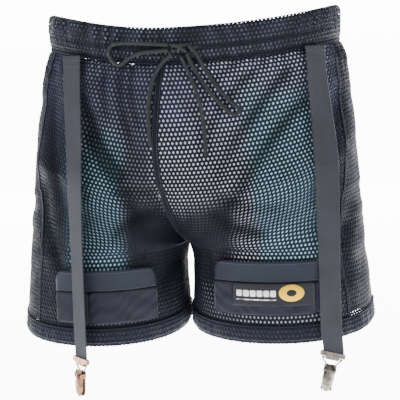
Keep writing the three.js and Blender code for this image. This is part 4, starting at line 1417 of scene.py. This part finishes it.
@dataclass
class Hems(Part):
    """The hem band of each leg."""

    knit: Knit = field(default_factory=lambda: Knit(hole=0.44, row=0.0050))

    def build(self) -> None:
        """Builds both hems."""
        for side in Side:
            self.hem(side)

    def around(self, side: Side, t: Array, out: Array, down: Array) -> Array:
        """Points of the hem: t round the leg, out from the cloth and down from the hem seam.

        Args:
            side: The wearer's side.
            t: Share of the way round the leg from the inseam.
            out: Distance out from the cloth.
            down: Distance down from the hem seam.

        Returns:
            The points.
        """
        front, u = self.form.round_leg(side.value, t)
        v = 1 + down / self.form.sizes.side_length
        base = self.form.raw(side.value, front, u, v)
        step = 0.002
        f1, u1 = self.form.round_leg(side.value, t + step)
        f0, u0 = self.form.round_leg(side.value, t - step)
        raw, sign = self.form.raw, side.value
        along = raw(sign, f1, u1, v) - raw(sign, f0, u0, v)
        fall = raw(sign, front, u, v + step) - raw(sign, front, u, v - step)
        normal = unit(np.cross(fall, along)) * side.value
        return self.form.drape(base + normal * np.asarray(out)[..., None])

    def hem(self, side: Side) -> None:
        """One hem: the open-mesh outer face over a plain folded band.

        Args:
            side: The wearer's side.
        """
        t = np.linspace(0, 1, 541)
        zero = np.zeros_like(t)
        ring = self.around(side, t, zero, zero)
        reach = run_along(ring)
        count = round(reach[-1] / self.knit.pitch)
        knit = Knit(reach[-1] / count, self.knit.row, self.knit.hole, self.knit.thickness)
        profile = np.array([(0.0009, 0.0008), (0.0017, 0.0035), (0.0016, 0.014), (0.0009, 0.0185),
                            (-0.0006, 0.0199), (-0.0020, 0.0185)])
        fall = run_along(profile)
        share, down, cells = knit_cells(lambda _: (reach, t), 0.0, fall[-1], knit, ring=count)
        places = np.mod(share, 1.0)
        offs = np.interp(down, fall, profile[:, 0])
        drops = np.interp(down, fall, profile[:, 1])
        puff = 0.0004 * np.sin(places * 2 * np.pi * 37 + 2 * np.sin(places * 2 * np.pi * 11))
        points = self.around(side, places, offs + puff - knit.thickness, drops)
        middle = self.around(side, places, np.full_like(places, -0.003), np.full_like(places, 0.01))
        cells = orient(points, cells, unit(points - middle))
        made = make_mesh(f"hem_{side.word}", points, cells, BAND)
        TREES.apply(made, TREES.holes(), BAND, hole_share=knit.hole, thickness=knit.thickness)
        Panels.tint(made, lambda p: np.ones((len(p), 3)))
        self.keep(made, "shorts", "dark_knit", f"hem_band_{side.word}")
        self.fold(side)

    def fold(self, side: Side) -> None:
        """The plain inner fold, the piping at the hem seam and its stitches.

        Args:
            side: The wearer's side.
        """
        t, k = np.meshgrid(np.linspace(0, 1, 161)[:-1], np.arange(6), indexing="ij")
        section = np.array([(0.0001, 0.001), (0.0007, 0.004), (0.0007, 0.014), (-0.0007, 0.0188),
                            (-0.0018, 0.014), (-0.0018, 0.001)])
        points = self.around(side, t, section[k, 0], section[k, 1]).reshape(-1, 3)
        made = face_out(make_mesh(f"hem_fold_{side.word}", points, tube_faces(*t.shape), HEM_FOLD))
        self.keep(made, "shorts", "dark_knit")
        t = np.linspace(0, 1, 300, endpoint=False)
        full = np.ones_like(t)
        path = self.around(side, t, full * 0.0006, full * -0.0004)
        outward = self.around(side, t, full * 0.003, full * 0)
        normals = unit(outward - self.around(side, t, full * 0, full * 0))
        made = face_out(make_mesh(f"hem_piping_{side.word}",
                                  *sweep(path, normals, oval(0.0032, 0.0030), ring=True), PLAIN))
        self.keep(made, "shorts", "dark_knit")
        closed = np.append(t, 1.0)
        one = np.ones_like(closed)
        rows = [self.around(side, closed, one * 0.0019, one * 0.0155)]
        stitch_rows(self, f"hem_stitches_{side.word}", rows, "shorts")


@dataclass(frozen=True)
class TabSizes:
    """A sock tab: distances from the centre front and down from its top edge."""

    inner: float = 0.037
    width: float = 0.119
    height: float = 0.054
    strip: float = 0.022
    lift: float = 0.0017
    rise: dict = field(default_factory=lambda: {Side.LEFT: 0.067, Side.RIGHT: 0.061})
    free: dict = field(default_factory=lambda: {Side.LEFT: 11 / 12, Side.RIGHT: 8 / 12})


@dataclass
class SockTabs(Part):
    """The two tabs that peel open over the lower thighs."""

    sizes: TabSizes = field(default_factory=TabSizes)

    def build(self) -> None:
        """Builds both tabs and the printed patch."""
        for side in Side:
            free = self.sizes.free[side]
            strip = self.sizes.strip / self.sizes.height
            word = side.word
            low, high = self.sizes.lift, self.sizes.lift + 0.001
            top = high + 0.0004
            self.pad(f"tab_back_{word}", side, (0, 1), (0, 1), low, high, PLAIN, "shorts", 0.010,
                     f"tab_base_{word}")
            self.pad(f"tab_band_{word}", side, (0, 1), (0, strip - 0.004), top, top + 0.0016, STRIP,
                     "shorts", 0.011, f"tab_strip_{word}")
            self.pad(f"tab_end_{word}", side, (free + 0.002, 1), (strip + 0.004, 1), top, top + 0.0027,
                     PLUSH, "shorts", 0.004, f"tab_sewn_{word}", crease=0.4)
            self.pad(f"tab_front_{word}", side, (0, free - 0.002), (strip + 0.004, 1.015), top + 0.0013,
                     top + 0.0027, PLUSH, f"flap_{word}", 0.005, f"tab_flap_{word}", crease=1.0)
            self.dress(f"tab_hook_{word}", HOOKS)
            rows = []
            for row in (0.05, strip - 0.03):
                c = np.linspace(0.03, 0.97, 90)
                rows.append(self.at(side, c, np.full_like(c, row), np.full_like(c, top + 0.0017)))
            stitch_rows(self, f"tab_stitches_{word}", rows, "shorts", pitch=0.0024, length=0.0017,
                        width=0.0009)
        self.patch()

    def at(self, side: Side, column: Array, row: Array, out: Array) -> Array:
        """Points over a tab, from shares of its width and height.

        Args:
            side: The wearer's side.
            column: Share across the tab.
            row: Share down the tab.
            out: Distance out from the cloth.

        Returns:
            The points.
        """
        z = self.form.sizes
        v = 1 - (self.sizes.rise[side] - row * self.sizes.height) / z.side_length
        u = np.empty_like(column)
        for level in np.unique(v):
            here = v == level
            stops = np.linspace(0, 1, 400)
            reach = self.form.raw(1, True, stops, level)[:, 0]
            u[here] = np.interp(self.sizes.inner + column[here] * self.sizes.width, reach, stops)
        base = self.form.raw(side.value, True, u, v)
        normal = self.form.normal(side.value, True, u, v)
        return self.form.drape(base + normal * out[..., None])

    def pad(self, name: str, side: Side, columns: tuple, rows: tuple, low: float, high: float,
            finish: Finish, body: str, corner: float, node: str, crease: float = 0.0) -> None:
        """A soft-edged layer of the tab, with its corners rounded.

        Args:
            name: The piece's name.
            side: The wearer's side.
            columns: The first and last share across.
            rows: The first and last share down.
            low: Distance of its back from the cloth.
            high: Distance of its front from the cloth.
            finish: Its finish.
            body: The body that it rides on.
            corner: The corners' radius.
            node: The node that it stands for.
            crease: How strongly it is creased; 0 leaves it flat.
        """
        c, r = np.meshgrid(np.linspace(0, 1, 72), np.linspace(0, 1, 30))
        width = (columns[1] - columns[0]) * self.sizes.width
        height = (rows[1] - rows[0]) * self.sizes.height
        from_top, from_low = r * height, (1 - r) * height
        low_rounded = "front" in name or "end" in name
        near = np.minimum(from_top, from_low if low_rounded else np.full_like(r, 1.0))
        inset = corner - np.sqrt(np.maximum(corner**2 - np.maximum(corner - near, 0) ** 2, 0))
        share = (inset + c * (width - 2 * inset)) / width
        column = columns[0] + share * (columns[1] - columns[0])
        row = rows[0] + r * (rows[1] - rows[0])
        edge = np.minimum(np.minimum(c, 1 - c) * width, np.minimum(r, 1 - r) * height)
        round_ = 1 - (1 - np.clip(edge / 0.0022, 0, 1)) ** 2
        soft = np.zeros_like(c)
        if crease:
            x, y = column * self.sizes.width, row * self.sizes.height
            bend = 0.004 * np.sin(x * 60) + 0.003 * np.sin(x * 140 + 1)
            soft = 0.00055 * np.sin((x * 0.55 + y + bend) * 2 * np.pi / 0.024)
            soft += 0.0003 * np.sin((x * 1.1 - y * 1.4 + 2 * bend) * 2 * np.pi / 0.017 + 1.0) - 0.0002
        thick = high - low
        outer = self.at(side, column, row, low + thick * (0.35 + 0.65 * round_) + crease * soft * round_)
        inner = self.at(side, column, row, np.full_like(column, low))
        made = closed_sheet(name, outer, inner, finish)
        self.keep(made, body, finish.slot, node)

    def patch(self) -> None:
        """The printed patch: a plain dark field with a round mark and bars."""
        strip = self.sizes.strip / self.sizes.height
        top = self.sizes.lift + 0.001 + 0.0004 + 0.0027 + 0.0003
        low, high = strip + 0.012, 0.84
        self.pad("patch_field", Side.LEFT, (0.17, 0.905), (low, high), top, top + 0.0004, PATCH_BASE,
                 "flap_left", 0.003, "name_patch")
        self.shape("patch_disc", (0.70, 0.595), (0.0135, 0.0086), top + 0.0005, PRINT_YELLOW)
        self.shape("patch_disc_core", (0.70, 0.595), (0.0052, 0.0034), top + 0.0008, PATCH_BASE)
        for i in range(6):
            self.shape(f"patch_bar_{i}", (0.235 + 0.060 * i, 0.60), (0.0030, 0.0032), top + 0.0005,
                       PRINT_WHITE, square=True)
        self.shape("patch_rule", (0.385, 0.72), (0.0210, 0.0006), top + 0.0005, PRINT_WHITE, square=True)

    def shape(self, name: str, centre: tuple[float, float], radii: tuple[float, float], out: float,
              finish: Finish, square: bool = False) -> None:
        """A flat printed shape on the flap: an oval, or a bar with rounded ends.

        Args:
            name: The piece's name.
            centre: Its middle, as shares across and down the tab.
            radii: Half its width and half its height.
            out: Distance out from the cloth.
            finish: Its finish.
            square: True for a bar.
        """
        a = np.linspace(0, 2 * np.pi, 40, endpoint=False)
        power = 0.35 if square else 1.0
        cx = np.sign(np.cos(a)) * np.abs(np.cos(a)) ** power
        cy = np.sign(np.sin(a)) * np.abs(np.sin(a)) ** power
        rings = []
        for k in (0.0, 0.5, 1.0):
            column = centre[0] + k * cx * radii[0] / self.sizes.width
            row = centre[1] + k * cy * radii[1] / self.sizes.height
            rings.append(self.at(Side.LEFT, column, row, np.full_like(a, out)))
        outer = np.stack(rings)
        lift = unit(np.cross(outer[2, 10] - outer[0, 0], outer[2, 0] - outer[0, 0]))
        inward = lift if lift[1] > 0 else -lift
        inner = outer + inward * 0.00025
        count = len(a)
        faces = grid_faces(3, count, wrap=True)
        faces += [tuple(3 * count + i for i in reversed(f)) for f in faces[:]]
        for i in range(count):
            j = (i + 1) % count
            faces.append((2 * count + i, 5 * count + i, 5 * count + j, 2 * count + j))
        points = np.concatenate([outer.reshape(-1, 3), inner.reshape(-1, 3)])
        made = make_mesh(name, points, faces, finish)
        work = bmesh.new()
        work.from_mesh(made.data)
        bmesh.ops.remove_doubles(work, verts=work.verts, dist=1e-6)
        work.to_mesh(made.data)
        work.free()
        self.keep(face_out(made), "flap_left", "patch_print")


# ---- Drawstring ----
@dataclass(frozen=True)
class CordSizes:
    """The drawstring: its thickness and where it is tied."""

    diameter: float = 0.0046
    knot_x: float = -0.006
    knot_z: float = 0.0155 - 0.040 - 0.021
    knot_size: tuple[float, float, float] = (0.017, 0.011, 0.012)


RUNS = {
    "bow_loop_right": (
        (-0.0115, 0.004, 0.0032), (-0.034, 0.006, 0.001), (-0.062, 0.008, 0), (-0.079, 0.006, 0),
        (-0.083, -0.002, 0), (-0.078, -0.013, 0), (-0.070, -0.017, 0), (-0.061, -0.011, 0),
        (-0.048, -0.005, 0), (-0.034, -0.003, 0.001), (-0.0115, -0.0024, 0.0032),
    ),
    "bow_loop_left": (
        (0.0115, 0.0034, 0.0032), (0.019, -0.005, 0.003), (0.031, -0.028, 0.001), (0.046, -0.050, 0),
        (0.061, -0.066, 0), (0.068, -0.073, 0), (0.062, -0.078, 0), (0.055, -0.074, 0),
        (0.039, -0.057, 0), (0.023, -0.034, 0.001), (0.0118, -0.012, 0.003), (0.0102, -0.0062, 0.0032),
    ),
    "cord_end_right": (
        (-0.0076, -0.0066, 0.0032), (-0.020, -0.017, 0.001), (-0.031, -0.036, 0), (-0.036, -0.062, 0),
        (-0.036, -0.088, 0), (-0.035, -0.110, 0),
    ),
    "cord_end_left": (
        (0.0025, -0.0096, 0.0032), (0.007, -0.019, 0.003), (0.015, -0.038, 0.0026),
        (0.023, -0.062, 0.0046), (0.027, -0.090, 0), (0.028, -0.124, 0),
    ),
}


@dataclass
class Drawstring(Part):
    """The braided cord, tied in a bow at the front."""

    sizes: CordSizes = field(default_factory=CordSizes)

    def build(self) -> None:
        """Builds the bow, the ends and the knot."""
        z = self.sizes
        knot = self.knot()
        for name, run in RUNS.items():
            line = [self.on_cloth(*p) for p in run]
            path = centripetal(np.array(line), 420 if name.startswith("bow") else 260)
            made = face_out(make_mesh(name + "_cord", *braided(path, z.diameter / 2), BRAID))
            self.keep(made, "shorts", "braid", name)
        self.dress("drawstring_tunnel", BRAID)

    def on_cloth(self, x: float, z: float, lift: float) -> tuple[float, float, float]:
        """A point of the cord's centreline lying on the cloth.

        Args:
            x: Distance across from the knot.
            z: Distance up from the knot.
            lift: Extra distance off the cloth.

        Returns:
            The point.
        """
        at_x, at_z = self.sizes.knot_x + x, self.sizes.knot_z + z
        y = self.form.front_y(at_x, at_z) - 0.0004 - self.sizes.diameter / 2 - lift
        return at_x, y, at_z

    def knot(self) -> bpy.types.Object:
        """The knot: a wrap over the crossing strands.

        Returns:
            The knot.
        """
        z = self.sizes
        front = self.form.front_y(z.knot_x, z.knot_z)
        centre = np.array([z.knot_x, front - 0.0004 - z.knot_size[1] / 2, z.knot_z])
        r = z.diameter / 2 * 0.94
        parts = []
        a = np.linspace(0, 2 * np.pi, 60)
        wrap = np.stack([0.0016 * np.sin(a) + 0.0012, 0.0030 * np.cos(a), 0.0042 * np.sin(a)], -1)
        parts.append(braided(centre + wrap, r))
        over = np.array([(-0.0085, 0.0012, 0.0030), (-0.0045, -0.0015, 0.0034),
                         (0.0005, -0.0026, 0.0020), (0.0048, -0.0015, -0.0012),
                         (0.0085, 0.0012, -0.0036)])
        parts.append(braided(centre + centripetal(over, 60), r))
        under = np.array([(-0.0085, 0.0010, -0.0030), (-0.0045, 0.0004, -0.0026), (0.0, 0.0012, 0.0),
                          (0.0045, 0.0004, 0.0028), (0.0085, 0.0010, 0.0034)])
        parts.append(braided(centre + centripetal(under, 60), r))
        made = make_mesh("tied_knot", *joined(parts), BRAID)
        return self.keep(face_out(made), "shorts", "braid", "bow_knot")


# ---- Garters ----
@dataclass(frozen=True)
class StrapSizes:
    """A garter strap's webbing."""

    thickness: float = 0.0014
    ribs: int = 11
    columns: int = 45
    rows: int = 240


@dataclass
class Garters(Part):
    """The elastic straps and their clips."""

    sizes: StrapSizes = field(default_factory=StrapSizes)
    joints: list = field(default_factory=list)

    def build(self) -> None:
        """Builds both straps and dresses the clips."""
        for side in Side:
            self.strap(side)
            metal = COPPERY if side is Side.RIGHT else NICKEL
            for node in ("strap_crimp", "clip_frame", "clip_pin", "clip_jaw"):
                self.dress(f"{node}_{side.word}", metal)
            self.dress(f"clip_pad_{side.word}", RUBBER)

    def sections(self, side: Side) -> tuple[Array, Array, Array]:
        """Centres, half-width vectors and facing vectors down the strap node's own sections.

        Args:
            side: The wearer's side.

        Returns:
            The centres, the half-width vectors and the facing vectors.
        """
        co = np.array([p.co for p in self.nodes[f"strap_{side.word}"].data.vertices])
        joint = next(j for j in self.joints if j["name"] == f"clip_{side.word}_pivot")
        pivot, axis = np.array(joint["pos_m"]), np.array(joint["axis"])
        face = unit(np.array([-axis[1], axis[0], 0.0]))
        hang = unit(np.cross(axis, face))
        rows = []
        level = np.round(co[:, 2], 5)
        for z in sorted(set(level[co[:, 2] > pivot[2] + 0.02]), reverse=True):
            ring = co[level == z]
            spread = ring - ring.mean(0)
            _, _, directions = np.linalg.svd(spread, full_matrices=False)
            across = directions[0] * np.sign(directions[0][0])
            rows.append((ring.mean(0), across * np.abs(spread @ across).max()))
        for up in (0.009, 0.0022):
            rows.append((pivot + hang * up, axis * np.linalg.norm(rows[-1][1])))
        centres = np.array([r[0] for r in rows])
        halves = np.array([r[1] for r in rows])
        fall = unit(np.gradient(centres, axis=0))
        return centres, halves, unit(np.cross(halves, fall))

    def strap(self, side: Side) -> None:
        """One strap of ribbed webbing.

        Args:
            side: The wearer's side.
        """
        centres, halves, facing = self.sections(side)
        reach = run_along(centres)
        stops = np.linspace(0, reach[-1], self.sizes.rows)
        along = lambda values: np.stack([np.interp(stops, reach, values[:, k]) for k in range(3)], -1)
        centre, half, face = along(centres), along(halves), unit(along(facing))
        if face[:, 1].mean() > 0:
            face = -face
        s = np.linspace(-1, 1, self.sizes.columns)
        rib = np.abs(np.sin((s + 1) / 2 * np.pi * self.sizes.ribs))
        edge = np.clip((1 - np.abs(s)) / 0.06, 0, 1) ** 0.5
        knit = 0.00006 * np.sin(stops / 0.0011 * np.pi)[:, None]
        thick = self.sizes.thickness / 2 * (0.45 + 0.55 * edge)
        outer = centre[:, None] + half[:, None] * s[None, :, None]
        lift = (thick - 0.00028 * (1 - rib))[None, :] + knit
        front = outer + face[:, None] * lift[..., None]
        back = outer - face[:, None] * thick[None, :, None]
        made = closed_sheet(f"garter_strap_{side.word}", front, back, WEBBING)
        self.keep(made, f"garter_{side.word}", "webbing", f"strap_{side.word}")
        rows = []
        for depth in (0.006, 0.013):
            i = int(np.argmin(np.abs(stops - depth)))
            across = np.linspace(-0.85, 0.85, 12)[:, None]
            rows.append(centre[i] + half[i] * across + face[i] * (self.sizes.thickness / 2 + 0.0001))
        stitch_rows(self, f"strap_tack_{side.word}", rows, f"garter_{side.word}")


# ---- Cup and its pocket ----
@dataclass
class CupPocket(Part):
    """The cup, its pocket and the gusset."""

    def build(self) -> None:
        """Dresses the cup and finishes the cloth round it."""
        self.dress("cup_shell", CUP_PLASTIC)
        self.dress("cup_rim", RUBBER)
        for node, finish in (("cup_pocket_front", POCKET), ("cup_pocket_back", POCKET),
                             ("crotch_gusset", PLAIN)):
            self.soften(node, finish)

    def soften(self, node: str, finish: Finish) -> None:
        """A finished copy of a cloth solid, with rounded edges and slight ripples.

        Args:
            node: The node's name.
            finish: Its finish.
        """
        source = self.nodes[node]
        made = bpy.data.objects.new(node + "_cloth", source.data.copy())
        bpy.context.collection.objects.link(made)
        made.data.materials.clear()
        made.data.materials.append(PAINT.of(finish))
        bevel = made.modifiers.new("edge", "BEVEL")
        bevel.width, bevel.segments, bevel.limit_method = 0.0003, 2, "ANGLE"
        graph = bpy.context.evaluated_depsgraph_get()
        mesh = bpy.data.meshes.new_from_object(made.evaluated_get(graph))
        made.modifiers.remove(bevel)
        made.data = mesh
        co = np.array([p.co for p in mesh.vertices])
        ripple = 0.0003 * np.sin(co[:, 0] * 240 + 3 * np.sin(co[:, 2] * 70))
        co[:, 1] += ripple
        mesh.vertices.foreach_set("co", co.ravel())
        mesh.polygons.foreach_set("use_smooth", [True] * len(mesh.polygons))
        self.keep(made, "shorts", finish.slot, node)


# ---- Stage ----
@dataclass(frozen=True)
class Studio:
    """The floor, the light and the camera."""

    target: tuple[float, float, float] = (0.0, 0.0, -0.230)
    azimuth: float = 7.0
    elevation: float = 5.0
    roll: float = 2.0
    distance: float = 2.0
    frame_width: float = 0.488

    def build(self) -> None:
        """Adds the stage, the lights, the camera and the world."""
        self.floor()
        self.light("key", (-0.9, -1.6, 0.9), 1.0, 20)
        self.light("fill", (1.3, -1.3, 0.3), 1.2, 5)
        self.light("top", (0.0, -0.5, 1.3), 1.0, 4)
        world = bpy.data.worlds.new("studio")
        world.use_nodes = True
        world.node_tree.nodes["Background"].inputs["Color"].default_value = (0.95, 0.97, 1.0, 1)
        world.node_tree.nodes["Background"].inputs["Strength"].default_value = 0.7
        bpy.context.scene.world = world
        self.camera()

    def floor(self) -> None:
        """A pale floor that curves up far behind the object, and glows softly there."""
        line = [(-3.0, -0.52), (0.0, -0.52), (3.2, -0.52)]
        line += [(3.2 + 0.7 * math.sin(a), 0.18 - 0.7 * math.cos(a)) for a in np.linspace(0.1, 1.57, 12)]
        line += [(3.9, 3.2)]
        points = [(x, y, z) for y, z in line for x in (-4.0, 4.0)]
        faces = [(2 * i, 2 * i + 1, 2 * i + 3, 2 * i + 2) for i in range(len(line) - 1)]
        make_mesh("stage_floor", np.array(points), faces, STAGE)

    def light(self, name: str, at: tuple, size: float, power: float) -> None:
        """One soft area light aimed at the object.

        Args:
            name: The light's name.
            at: Where it stands.
            size: The side of its square.
            power: Its power in watts.
        """
        lamp = bpy.data.lights.new(name, "AREA")
        lamp.energy, lamp.size = power, size
        made = bpy.data.objects.new(name, lamp)
        made.location = at
        aim = Vector(self.target) - Vector(at)
        made.rotation_euler = aim.to_track_quat("-Z", "Y").to_euler()
        bpy.context.collection.objects.link(made)

    def camera(self) -> None:
        """The camera, slightly to the wearer's left and above the middle."""
        a, e = math.radians(self.azimuth), math.radians(self.elevation)
        back = Vector((math.sin(a) * math.cos(e), -math.cos(a) * math.cos(e), math.sin(e)))
        lens = bpy.data.cameras.new("camera")
        lens.sensor_width = 36
        lens.lens = 36 * self.distance / self.frame_width
        made = bpy.data.objects.new("camera", lens)
        made.location = Vector(self.target) + back * self.distance
        look = (-back).to_track_quat("-Z", "Y").to_matrix()
        turn = math.radians(self.roll)
        spin = Vector((0, 0, 1)).to_track_quat("Z", "Y").to_matrix()
        spin[0][0], spin[0][1] = math.cos(turn), math.sin(turn)
        spin[1][0], spin[1][1] = -math.sin(turn), math.cos(turn)
        made.rotation_euler = (look @ spin).to_euler()
        bpy.context.collection.objects.link(made)
        bpy.context.scene.camera = made


def main() -> None:
    """Builds the whole object on the frame."""
    logging.basicConfig(level=logging.INFO, format="%(message)s")
    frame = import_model()
    form = GarmentForm(FormSizes())
    nodes = frame["nodes"]
    Waistband(form, nodes).build()
    Panels(form, nodes).build()
    Hems(form, nodes).build()
    SockTabs(form, nodes).build()
    Drawstring(form, nodes).build()
    Garters(form, nodes, joints=frame["joints"]).build()
    CupPocket(form, nodes).build()
    Studio().build()


if __name__ == "__main__":
    main()
